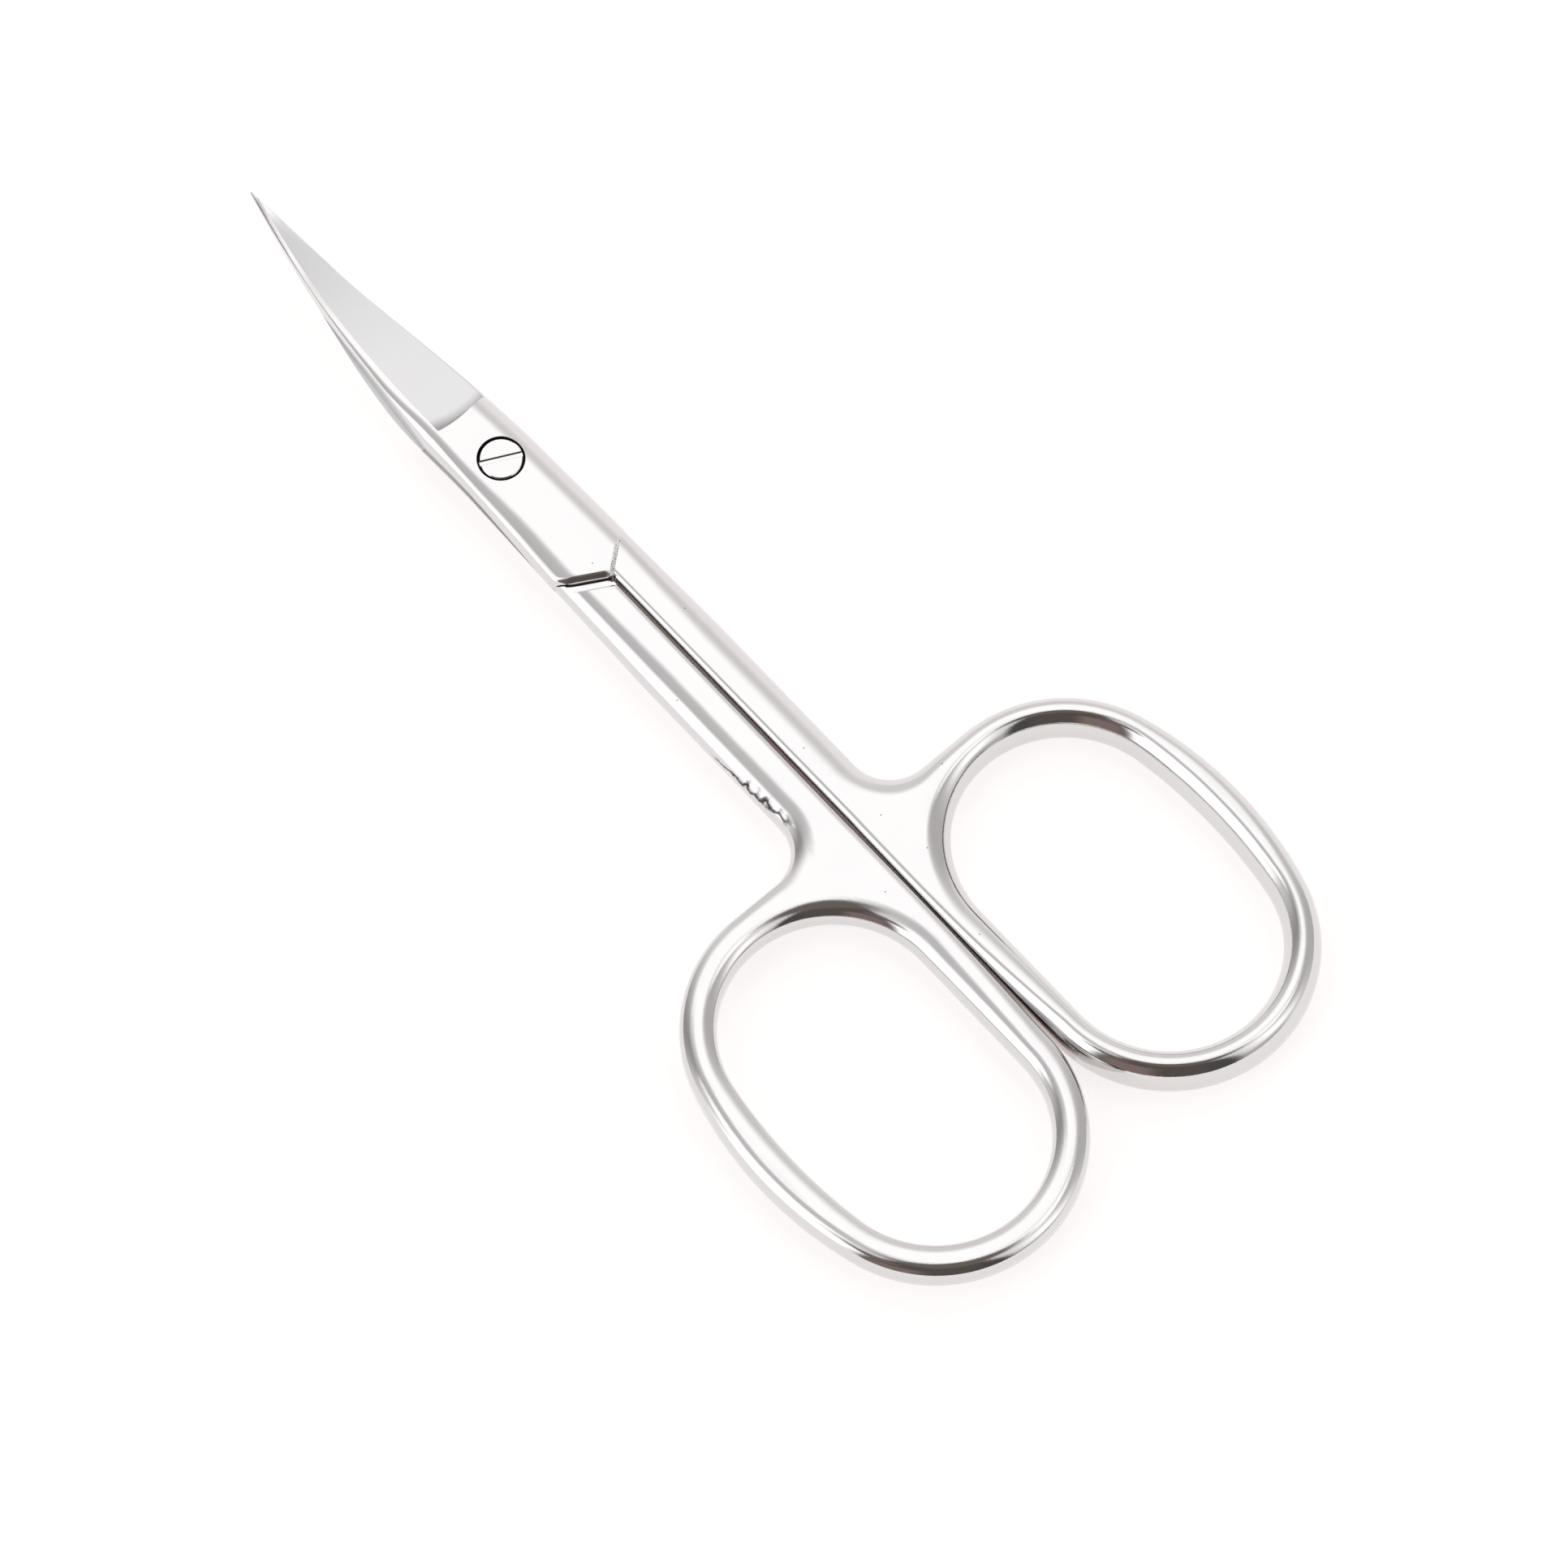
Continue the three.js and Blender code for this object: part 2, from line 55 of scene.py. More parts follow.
# Reach of the scissors from the pivot, and the height of the plane where the leaves part
HANDLE_LENGTH = -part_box("upper_half")[0].x / MM
BLADE_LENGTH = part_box("upper_half")[1].x / MM
MIDDLE_HEIGHT = frame["joints"][0]["pos_m"][2] / MM

# Finger rings and shanks
RING_HOLE_LENGTH = 24.9
RING_HOLE_WIDTH = 15.55
RING_SIDE_BULGE = 0.4
RING_BAR = 2.45
RING_SIDE_BAR = 2.75
RING_ROUND = 1.15
RING_WEB_ROUND = 1.7
GRIP_GAP = 0.3
GRIP_CLOSE = 0.045  # how much closer the shanks stand than the rings
GRIP_BOW = 0.045  # how far their sides bow towards each other beside the holes
GRIP_PART_POWER = 4  # how late the shanks part again on their way to the rings' ends
GRIP_ROUND_POWER = 3  # how late their narrow rounds grow to the rings'
SHANK_WIDTH = 3.17
SHANK_THICKNESS = 3.0
SHANK_OUTER_ROUND = 1.95
SHANK_INNER_ROUND = 0.53
SHANK_TAPER_START = 18.0
WEB_FILLET = 3.1
WEB_ROUND_END = 0.6  # share of the web's side over which the ring's rounds grow to the shank's
ROUND_ASPECT = 1.2
ROUND_LIMIT = 0.94
DOME_TILT = math.radians(70)  # slope of the upper rounds where they meet the rim
UNDER_SHARE = 0.9  # width of the lower rounds against the upper ones
UNDER_HEIGHT = 1.08
ROLL_TILT = math.radians(18)  # slope where a lower round turns from its broad roll to the rim
UNDER_ROLL = 0.63  # width of that roll against the whole round
INNER_ROLL = 0.5  # the same for the narrow rounds between the shanks
INNER_ASPECT = 0.77

# Joint leaves and their V shoulder
LEAF_THICKNESS = 1.785
LEAF_FRONT_WIDTH = 2.84
LEAF_INNER_SETBACK = 0.12
LEAF_OUTER_ROUND = 1.95
LEAF_OUTER_HEIGHT = 1.6
LEAF_INNER_ROUND = 1.4
LEAF_ROLL = 0.85  # width of its roll against the whole round
LEAF_LIP = 0.5
LEAF_LIP_HEIGHT = 0.34
LEAF_CORNER = 1.9  # rounding in plan where the leaf's free end meets its inner side
LEAF_LIP_BLEND = 0.35
LEAF_PROUD = 0.02
V_APEX = 11.3
V_HALF_ANGLE = math.radians(51)
FREE_HALF_ANGLE = math.radians(60)  # of the V's other arm, the free end of the leaf
V_BEVEL = 0.28
STEP_RELIEF = 0.06
STEP_LEDGE = 0.42  # flat ledge sunk into the shank along that end
STEP_DEPTH = 0.28
STEP_SLOPE = 0.2  # width of the slope from the ledge up to the shank
STEP_OVERLAP = 0.3  # how far that clearing reaches into the leaf's own height
BEVEL_OVERRUN = 2.0

# Blades
SHOULDER = 4.1
SHOULDER_RUN = 0.5
WHEEL_RADIUS = 8.0
BOW_FADE = 6.0
SPINE_FALL = 1.4
SPINE_EASE = 6.0  # length over which the blade starts to thin
SPINE_STRIP = 1.05
SPINE_STRIP_TIP = 0.33
SPINE_STRIP_POWER = 2
SPINE_ROUND = 0.78  # share of the strip
SPINE_ROUND_TIP = 0.2
SPINE_ROUND_SHOULDER = 0.98
SHOULDER_RIM = 0.25  # the rim beside the roll widens by this share at the shoulder
SHOULDER_RIM_RUN = 5.0
LEAF_NARROWING = 11.0  # length before the shoulder where the leaf's roll narrows to the spine's
EDGE_THICKNESS = 0.08
EDGE_BEVEL = 0.12
EDGE_LAND = 0.01
TIP_WIDTH = 0.1
TIP_THICKNESS = 0.4
HEEL_RUN = 6.6
EDGE_HEEL_TAPER = math.radians(0.3)
SPINE_HEEL_TAPER = math.radians(6.8)
TIP_RUN = 9.8
EDGE_TIP_TAPER = math.radians(7.2)
SPINE_TIP_TAPER = math.radians(10.2)
SIDE_SET = 0.18
SIDE_SET_RUN = 9.0
SIDE_BOW = 0.16
CURVE_START = 5.0
CURVE_RADIUS = 59.0

# Pivot screw
SCREW_HEAD_RADIUS = 1.47
SCREW_HEAD_HEIGHT = 0.9
SCREW_NECK_RADIUS = 1.0
SCREW_EDGE_BREAK = 0.08
SLOT_WIDTH = 0.36
SLOT_DEPTH = 0.15
SLOT_BREAK = 0.015
SLOT_ANGLE = math.radians(63)
HEAD_CLEARANCE = 0.16
SEAT_CLEARANCE = 0.05
NECK_CLEARANCE = 0.1
THREAD_CLEARANCE = 0.05

# Fineness of the meshes
RING_END_STEPS = 72
RING_SIDE_STEPS = 28
FILLET_STEPS = 24
WEB_STEPS = 8
GRIP_SIDE_STEPS = 24
ROUND_STEPS = 14
SIDE_ROUND_STEPS = 14
FLAT_STEPS = 56
LIP_STEPS = 14
CORNER_STEPS = 24
LEAF_STEPS = 30
BOW_STEPS = 20
SHOULDER_STEPS = 8
BLADE_STEPS = 90
SCREW_SIDES = 128
SEARCH_STEPS = 40
SMOOTH_LIMIT = math.radians(28)  # edges sharper than this stay crisp

# Sizes that follow, with heights from the middle plane
LEAF_TOP = MIDDLE_HEIGHT
INNER_FACE = LEAF_TOP - LEAF_THICKNESS
SHANK_TOP = SHANK_THICKNESS / 2
SHANK_INNER = GRIP_GAP / 2
SHANK_OUTER = SHANK_INNER + SHANK_WIDTH
HOLE_REAR = RING_BAR - HANDLE_LENGTH
HOLE_FRONT = HOLE_REAR + RING_HOLE_LENGTH
RING_FRONT = HOLE_FRONT + RING_BAR
HOLE_END_RADIUS = (RING_HOLE_WIDTH - RING_SIDE_BULGE) / 2
RING_AXIS = SHANK_INNER + RING_BAR + HOLE_END_RADIUS
EDGE_HEEL = LEAF_FRONT_WIDTH + LEAF_PROUD
SPINE_HEEL = LEAF_FRONT_WIDTH - LEAF_INNER_SETBACK
CUT_REACH = HANDLE_LENGTH + BLADE_LENGTH
V_POINT = Vector((-V_APEX, 0))
FREE_ARM = Vector((math.cos(FREE_HALF_ANGLE), math.sin(FREE_HALF_ANGLE)))
FREE_INWARD = Vector((math.sin(FREE_HALF_ANGLE), -math.cos(FREE_HALF_ANGLE)))

# Material slots of a half
POLISHED = 0
GROUND = 1
# walls round the pivot, painted black as the shade deep in the gaps
PAINTED_SHADE = 2
RAW = 3
ROUGH = 4

# Finishes, with painted shade in the holes round the pivot and in the hollow at the shoulder
STEEL = (0.73, 0.715, 0.71, 1)
STEEL_SHADE = (0.69, 0.68, 0.68, 1)
POLISH_ROUGHNESS = (0.04, 0.1)
CLOUD_SIZE = 4 * MM
STREAK_LENGTH = 9 * MM
STREAK_WIDTH = 0.12 * MM
STREAK_HEIGHT = 0.0016 * MM
STREAK_SPAN = (0.3, 0.8)  # span of the noise over which the roughness changes
WAVE_SIZE = 5 * MM
WAVE_HEIGHT = 0.03 * MM
PIT = (0.03, 0.028, 0.028, 1)
PIT_SPACING = 6 * MM
PIT_SIZE = 0.08 * MM
PIT_FACING = (0.8, 0.95)  # only on faces that look up or down
CRACK_FRONT = -26 * MM
CRACK_REAR = -31.5 * MM
CRACK_FADE = 1.5 * MM
CRACK_SIDE = (2.45 * MM, 2.9 * MM)
CRACK_LEVEL = -0.15 * MM
CRACK_CLIMB = 0.1
CRACK_SIZE = 0.8 * MM
CRACK_SWAY = 0.2 * MM
CRACK_WIDTH = 0.26 * MM
NOISE_SPAN = (0.3, 0.7)  # span that most of a noise lies in
GROUND_STEEL = (0.955, 0.965, 0.995, 1)
GROUND_SHADE = (0.94, 0.94, 0.93, 1)
SHOULDER_PAINTED_SHADE = (0.4, 0.39, 0.39, 1)  # painted shade in the hollow where the wheel ran out at the shoulder
SHOULDER_SHADE_RUN = 1.15 * MM
SHOULDER_SHADE_RISE = (0.02 * MM, 0.06 * MM)
GROUND_ROUGHNESS = 0.34
GRIND_LENGTH = 6 * MM
GRIND_WIDTH = 0.08 * MM
GRIND_HEIGHT = 0.001 * MM
SCREW_ROUGHNESS = (0.06, 0.12)
# Painted shade: near-black walls round the pivot stand in for the shade deep in the gaps
PAINTED_SHADE_BLACK = (0.012, 0.011, 0.014, 1)
PAINTED_SHADE_SPECK = (0.05, 0.04, 0.04, 1)
PAINTED_SHADE_ROUGHNESS = 0.5
PAINTED_SHADE_SPECK_SIZE = 0.4 * MM
RAW_STEEL = (0.76, 0.69, 0.675, 1)
RAW_SHADE = (0.58, 0.5, 0.485, 1)
RAW_ROUGHNESS = 0.32
RAW_LENGTH = 4 * MM
RAW_WIDTH = 0.12 * MM
RAW_HEIGHT = 0.004 * MM
ROUGH_STEEL = (0.86, 0.85, 0.85, 1)
ROUGH_SHADE = (0.2, 0.19, 0.19, 1)
ROUGH_ROUGHNESS = 0.25
ROUGH_SIZE = 0.12 * MM
ROUGH_HEIGHT = 0.05 * MM
ROUGH_SPAN = (0.52, 0.66)

# Floor: for the eye and in the steel, most of its light is its own
FLOOR_SIZE = 4.0
FLOOR_COLOUR = (0.9, 0.9, 0.9, 1)
FLOOR_ROUGHNESS = 0.9
FLOOR_WHITE = (1.0, 0.97, 0.96, 1)
FLOOR_GLOW = 1.48
FLOOR_GLOW_SHARE = 0.5

# Studio
WARM_BLUE = 1.3  # how much more blue than green a warm grey loses

# Camera, read from the photograph's perspective
CAMERA_AIM = Vector((-28.84, 0.5, 0.0)) * MM
CAMERA_DISTANCE = 592.05 * MM
CAMERA_AZIMUTH = math.radians(138.43)
CAMERA_ELEVATION = math.radians(67.15)
CAMERA_LENS = 206.83
CAMERA_SENSOR = 36.0
CAMERA_NEAR = 10 * MM

# Sockets of the Mix node when it mixes colours
MIX_SHARE = 0
MIX_A = 6
MIX_B = 7
MIX_COLOUR = 2


def lerp(a, b, share):
    return a + (b - a) * share


def clamp(value):
    return min(max(value, 0.0), 1.0)


def smoothstep(value, low, high):
    share = clamp((value - low) / (high - low))
    return share * share * (3 - 2 * share)


def shares(steps):
    """Even shares from 0 to 1, both ends included."""
    return [i / steps for i in range(steps + 1)]


def arc(x, y, radius, start, end, steps):
    angles = [lerp(start, end, share) for share in shares(steps)]
    return [Vector((x + radius * math.cos(a), y + radius * math.sin(a))) for a in angles]


def new_object(name, vertices, faces, slots=None):
    mesh = bpy.data.meshes.new(name)
    mesh.from_pydata([tuple(v) for v in vertices], [], faces)
    if slots:
        mesh.polygons.foreach_set("material_index", slots)
    obj = bpy.data.objects.new(name, mesh)
    bpy.context.scene.collection.objects.link(obj)
    return obj


def bands(first, levels, count):
    """Four-sided faces between closed loops of vertices, each loop over the one before."""
    faces = []
    for level in range(levels - 1):
        for i in range(count):
            a = first + level * count + i
            b = first + level * count + (i + 1) % count
            faces.append((a, b, b + count, a + count))
    return faces


def loft(name, loops):
    """Closed mesh through loops of the same count."""
    count = len(loops[0])
    last = (len(loops) - 1) * count
    faces = bands(0, len(loops), count)
    faces += [tuple(reversed(range(count))), tuple(range(last, last + count))]
    return new_object(name, [vertex for loop in loops for vertex in loop], faces)


def apply_modifiers(obj):
    """Replaces the mesh by its result after the modifiers."""
    graph = bpy.context.evaluated_depsgraph_get()
    mesh = bpy.data.meshes.new_from_object(obj.evaluated_get(graph))
    obj.modifiers.clear()
    obj.data = mesh
    return obj


def combine(obj, tool, operation):
    """Joins a tool to the object or cuts it away, and removes the tool."""
    if not tool.data.materials:
        for material in obj.data.materials:
            tool.data.materials.append(material)
    modifier = obj.modifiers.new(operation.lower(), "BOOLEAN")
    modifier.operation = operation
    modifier.solver = "EXACT"
    modifier.object = tool
    apply_modifiers(obj)
    bpy.data.objects.remove(tool)
    return obj


def left_normals(points):
    """Unit vectors square to a closed loop, to the left of its run."""
    normals = []
    for i, point in enumerate(points):
        run = (point - points[i - 1]).normalized() + (points[(i + 1) % len(points)] - point).normalized()
        run.normalize()
        normals.append(Vector((-run.y, run.x)))
    return normals


def dome_round(share):
    """Round that leaves the flat as one arc: shares of its width and of its height."""
    tilt = share * DOME_TILT
    return math.sin(tilt) / math.sin(DOME_TILT), (1 - math.cos(tilt)) / (1 - math.cos(DOME_TILT))


def roll_aspect(roll_share):
    """Height against width of a round that starts as a broad roll and ends in a tighter arc."""
    roll = roll_share / math.sin(ROLL_TILT)
    rim = (1 - roll_share) / (1 - math.sin(ROLL_TILT))
    return roll * (1 - math.cos(ROLL_TILT)) + rim * math.cos(ROLL_TILT)


def roll_round(share, roll_share):
    """Such a round: shares of its width and height."""
    roll = roll_share / math.sin(ROLL_TILT)
    rim = (1 - roll_share) / (1 - math.sin(ROLL_TILT))
    height = roll_aspect(roll_share)
    if share < 0.5:
        tilt = 2 * share * ROLL_TILT
        return roll * math.sin(tilt), roll * (1 - math.cos(tilt)) / height
    tilt = lerp(ROLL_TILT, math.pi / 2, 2 * share - 1)
    across = roll_share + rim * (math.sin(tilt) - math.sin(ROLL_TILT))
    return across, (height - rim * math.cos(tilt)) / height


def slab_round(rounding, share, side, top):
    """Point of a slab's round: distance in from the side, and height.

    Narrow rounds roll above and below. Broad ones dome above and roll below.
    """
    narrow = 1 - smoothstep(rounding, SHANK_INNER_ROUND, RING_ROUND)
    if side > 0:
        width, limit = rounding, ROUND_LIMIT * top
        broad = dome_round(share)
    else:
        width, limit = rounding * lerp(UNDER_SHARE, 1, narrow), UNDER_HEIGHT
        broad = roll_round(share, UNDER_ROLL)
    across, down = (lerp(a, b, narrow) for a, b in zip(broad, roll_round(share, INNER_ROLL)))
    height = min(width * lerp(ROUND_ASPECT, INNER_ASPECT, narrow), limit)
    return width * (1 - across), side * (top - height * down)


def rounded_slab(name, outline, hole, top):
    """Flat slab with rounded edges. The metal is on the left of both loops of (point, round)."""
    vertices, faces, slots, top_rims, bottom_rims = [], [], [], [], []
    levels = [(share, -1) for share in shares(ROUND_STEPS)]
    levels += [(share, 1) for share in reversed(shares(ROUND_STEPS))]
    for loop in (outline, hole):
        normals = left_normals([point for point, _ in loop])
        first, count = len(vertices), len(loop)
        for share, side in levels:
            for (point, rounding), normal in zip(loop, normals):
                inset, height = slab_round(rounding, share, side, top)
                place = point + normal * inset
                vertices.append(Vector((place.x, place.y, height)))
        faces += bands(first, len(levels), count)
        for level in range(len(levels) - 1):
            for point, _ in loop:
                between = abs(point.y) < 2 * SHANK_INNER
                slots.append(RAW if between and level == ROUND_STEPS else POLISHED)
        bottom_rims.append(range(first, first + count))
        top_start = first + (len(levels) - 1) * count
        top_rims.append(range(top_start, top_start + count))
    for rims, flip in ((top_rims, False), (bottom_rims, True)):
        ids = [i for rim in rims for i in rim]
        for triangle in tessellate_polygon([[vertices[i] for i in rim] for rim in rims]):
            a, b, c = (ids[i] for i in triangle)
            upward = (vertices[b] - vertices[a]).cross(vertices[c] - vertices[a]).z > 0
            faces.append((a, b, c) if upward != flip else (a, c, b))
            slots.append(POLISHED)
    return new_object(name, vertices, faces, slots)


def outer_side(x):
    """Distance from the axis to the outer side of a shank and its leaf."""
    along = clamp((x + SHANK_TAPER_START) / (SHOULDER + SHANK_TAPER_START))
    return lerp(SHANK_OUTER, LEAF_FRONT_WIDTH, along)


def ring_run(end_offset, side_offset):
    """Four-arc outline of a ring's hole, or of the ring when offset: rear, side, front, front return."""
    rear_x = HOLE_REAR + HOLE_END_RADIUS
    front_x = HOLE_FRONT - HOLE_END_RADIUS
    reach = (front_x - rear_x) / 2
    end = HOLE_END_RADIUS + end_offset
    rise = RING_HOLE_WIDTH - HOLE_END_RADIUS + side_offset
    side_radius = (reach**2 + rise**2 - end**2) / (2 * (rise - end))
    side_y = RING_AXIS + rise - side_radius
    turn = math.atan2(reach, RING_AXIS - side_y)
    up = math.pi / 2
    middle_x = (rear_x + front_x) / 2
    return (
        arc(rear_x, RING_AXIS, end, 3 * up, up + turn, RING_END_STEPS),
        arc(middle_x, side_y, side_radius, up + turn, up - turn, RING_SIDE_STEPS),
        arc(front_x, RING_AXIS, end, up - turn, 0, RING_END_STEPS // 2),
        arc(front_x, RING_AXIS, end, 0, -up, RING_END_STEPS // 2),
    )


def handle():
    """Shank with its finger ring at -Y."""
    rear, side, front, _ = ring_run(RING_BAR, RING_SIDE_BAR)
    shank_front = -V_APEX / 2
    axis_start = HOLE_REAR + HOLE_END_RADIUS
    grip_side = []
    for share in shares(GRIP_SIDE_STEPS):
        close = GRIP_CLOSE + GRIP_BOW * math.sin(math.pi * share)
        inner = SHANK_INNER - close * (1 - share**GRIP_PART_POWER)
        point = Vector((lerp(RING_FRONT, axis_start, share), inner))
        grip_side.append((point, lerp(SHANK_INNER_ROUND, RING_ROUND, share**GRIP_ROUND_POWER)))
    fillet_x = RING_FRONT + WEB_FILLET
    fillet_y = SHANK_OUTER + WEB_FILLET
    web_side = [Vector((RING_FRONT, lerp(RING_AXIS, fillet_y, share))) for share in shares(WEB_STEPS)[1:-1]]
    web_side += arc(fillet_x, fillet_y, WEB_FILLET, math.pi, 1.5 * math.pi, FILLET_STEPS)
    shank_side = [Vector((x, outer_side(x))) for x in (-SHANK_TAPER_START, shank_front)]
    ring = [(point, RING_ROUND) for point in rear[1:] + side[1:] + front[1:]]
    web = []
    for point, share in zip(web_side, shares(len(web_side) - 1)):
        web.append((point, lerp(RING_ROUND, SHANK_OUTER_ROUND, smoothstep(share, 0, WEB_ROUND_END))))
    shank = [(point, SHANK_OUTER_ROUND) for point in shank_side]
    clockwise = [(Vector((shank_front, SHANK_INNER - GRIP_CLOSE)), SHANK_INNER_ROUND)]
    clockwise += grip_side + ring + web + shank
    rear, side, front, front_return = ring_run(0, 0)
    opening = [(point, RING_ROUND) for point in rear + side[1:] + front[1:]]
    for point, share in zip(front_return[1:], shares(len(front_return) - 1)[1:]):
        opening.append((point, lerp(RING_ROUND, RING_WEB_ROUND, smoothstep(share, 0, WEB_ROUND_END))))
    for share in shares(RING_SIDE_STEPS)[1:-1]:
        point = front_return[-1].lerp(rear[0], share)
        opening.append((point, lerp(RING_WEB_ROUND, RING_ROUND, share)))
    mirrored = [[(Vector((p.x, -p.y)), r) for p, r in loop] for loop in (clockwise, opening)]
    return rounded_slab("handle", mirrored[0], mirrored[1][::-1], SHANK_TOP)


def blade_side(heel_width, heel_taper, tip_taper):
    """Side of a blade in plan, as the four corners of a Bezier curve."""
    return (
        Vector((SHOULDER, heel_width)),
        Vector((SHOULDER + HEEL_RUN, heel_width - HEEL_RUN * math.tan(heel_taper))),
        Vector((BLADE_LENGTH - TIP_RUN, TIP_WIDTH + TIP_RUN * math.tan(tip_taper))),
        Vector((BLADE_LENGTH, TIP_WIDTH)),
    )


EDGE_SIDE = blade_side(EDGE_HEEL, EDGE_HEEL_TAPER, EDGE_TIP_TAPER)
SPINE_SIDE = blade_side(SPINE_HEEL, SPINE_HEEL_TAPER, SPINE_TIP_TAPER)


def bezier(corners, t):
    a, b, c, d = corners
    s = 1 - t
    return a * s**3 + b * (3 * s * s * t) + c * (3 * s * t * t) + d * t**3


def height_at(corners, x):
    """Height of a curve that runs steadily forward, at one x."""
    low, high = 0.0, 1.0
    for _ in range(SEARCH_STEPS):
        middle = (low + high) / 2
        if bezier(corners, middle).x < x:
            low = middle
        else:
            high = middle
    return bezier(corners, low).y


def outer_round(side, width, top, height):
    """Dome from the side, which is at -Y, up to the top."""
    corners = []
    for share in reversed(shares(SIDE_ROUND_STEPS)):
        across, down = dome_round(share)
        corners.append(Vector((side + width * (1 - across), top - height * down)))
    return corners


def inner_round(side, width, top, roll_share):
    """Broad roll from the top out to the side, which is at +Y."""
    corners = []
    for share in shares(SIDE_ROUND_STEPS):
        across, down = roll_round(share, roll_share)
        corners.append(Vector((side - width * (1 - across), top - width * roll_aspect(roll_share) * down)))
    return corners


def inner_side(x):
    """Side of the leaf that lies over the other half."""
    along = clamp((x + V_APEX) / (SHOULDER + V_APEX))
    return outer_side(x) - along * LEAF_INNER_SETBACK


def half_section(x):
    """Section of leaf or blade as (y, z) corners with a flag for the ground face.

    The outer side is at -Y and the spine at +Y. Grinding flattens the polished section from the thin
    cutting edge up to the spine's strip, by a share that grows down the hollow slope of the shoulder.
    """
    on_leaf = x <= SHOULDER
    outer = -outer_side(x) - LEAF_PROUD if on_leaf else -height_at(EDGE_SIDE, x)
    inner = inner_side(x) if on_leaf else height_at(SPINE_SIDE, x)
    left = clamp((BLADE_LENGTH - x) / (BLADE_LENGTH - SHOULDER))
    past = max(x - SHOULDER, 0)
    past = past * past / (2 * SPINE_EASE) if past < SPINE_EASE else past - SPINE_EASE / 2
    thick = clamp(1 - past / (BLADE_LENGTH - SHOULDER - SPINE_EASE / 2))
    thickness = lerp(TIP_THICKNESS, LEAF_THICKNESS, thick**SPINE_FALL)
    top = INNER_FACE + thickness
    thin = thickness / LEAF_THICKNESS
    narrow = min(1, (inner - outer) / (EDGE_HEEL + SPINE_HEEL))
    outer_corners = outer_round(outer, LEAF_OUTER_ROUND * narrow, top, LEAF_OUTER_HEIGHT * thin)
    rim = 1 - smoothstep(abs(x - SHOULDER), 0, SHOULDER_RIM_RUN)
    roll_share = LEAF_ROLL - SHOULDER_RIM * rim
    leaf_corners = inner_round(inner, LEAF_INNER_ROUND, top, roll_share)
    strip_width = lerp(SPINE_STRIP_TIP, SPINE_STRIP, left**SPINE_STRIP_POWER)
    strip_width = min(strip_width, inner - outer - EDGE_BEVEL)
    strip = Vector((inner - strip_width, top))
    spine_share = lerp(SPINE_ROUND_TIP, SPINE_ROUND, left)
    spine_width = strip_width * lerp(spine_share, SPINE_ROUND_SHOULDER, rim)
    spine_corners = [strip] + inner_round(inner, spine_width, top, roll_share)[1:]
    turn = smoothstep(x, SHOULDER - LEAF_NARROWING, SHOULDER)
    inner_corners = [a.lerp(b, turn) for a, b in zip(leaf_corners, spine_corners)]
    flat = [outer_corners[-1].lerp(inner_corners[0], share) for share in shares(FLAT_STEPS)[1:-1]]
    slope = clamp((x - SHOULDER) / SHOULDER_RUN)
    ground_share = 1 - (1 - slope) ** 2
    edge = Vector((outer + EDGE_BEVEL * narrow, INNER_FACE + EDGE_THICKNESS))
    face = []
    for corner in outer_corners + flat:
        across = (corner.x - outer) / (inner_corners[0].x - outer)
        face.append(corner.lerp(edge.lerp(inner_corners[0], across), ground_share))
    corners = [(Vector((outer, INNER_FACE + EDGE_LAND)), False)]
    corners += [(corner, True) for corner in face + inner_corners[:1]]
    corners += [(corner, False) for corner in inner_corners[1:]]
    under = [(Vector((corner.x, INNER_FACE)), True) for corner, _ in reversed(corners)]
    return (corners + under)[::-1]


def leaf_corner():
    """Centre in plan of the rounded corner where the leaf's free end meets its inner side."""
    run = inner_side(-V_APEX) - LEAF_CORNER * (1 - math.cos(FREE_HALF_ANGLE))
    return V_POINT + FREE_ARM * (run / math.sin(FREE_HALF_ANGLE)) + FREE_INWARD * LEAF_CORNER


def leaf_end(set_back):
    """Free end of the leaf in plan, moved back by a distance: its arm past the V's point, and its corner."""
    centre = leaf_corner()
    start = V_POINT - FREE_ARM * SHANK_WIDTH - FREE_INWARD * set_back
    corner = arc(
        centre.x, centre.y, LEAF_CORNER + set_back, math.pi / 2 + FREE_HALF_ANGLE, math.pi / 2, CORNER_STEPS
    )
    return [start] + corner


def end_shift(y):
    """Distance along the leaf from the V's point to its free end, at one y."""
    centre = leaf_corner()
    if y <= centre.y + LEAF_CORNER * math.cos(FREE_HALF_ANGLE):
        return max(y, 0) / math.tan(FREE_HALF_ANGLE)
    return centre.x - math.sqrt(max(LEAF_CORNER**2 - (y - centre.y) ** 2, 0)) + V_APEX


def lip_fall(inside, y):
    """Drop of the rounded lip along the leaf's free end. It dies out towards the V's point and the corner."""
    share = clamp(1 - inside / LEAF_LIP)
    tilt = math.asin(share * math.sin(DOME_TILT))
    centre = leaf_corner()
    bend = centre.y + LEAF_CORNER * math.cos(FREE_HALF_ANGLE)
    fade = smoothstep(y, 0, LEAF_LIP_BLEND) * (1 - smoothstep(y, bend, centre.y + LEAF_CORNER))
    return (1 - math.cos(tilt)) / (1 - math.cos(DOME_TILT)) * LEAF_LIP_HEIGHT * fade


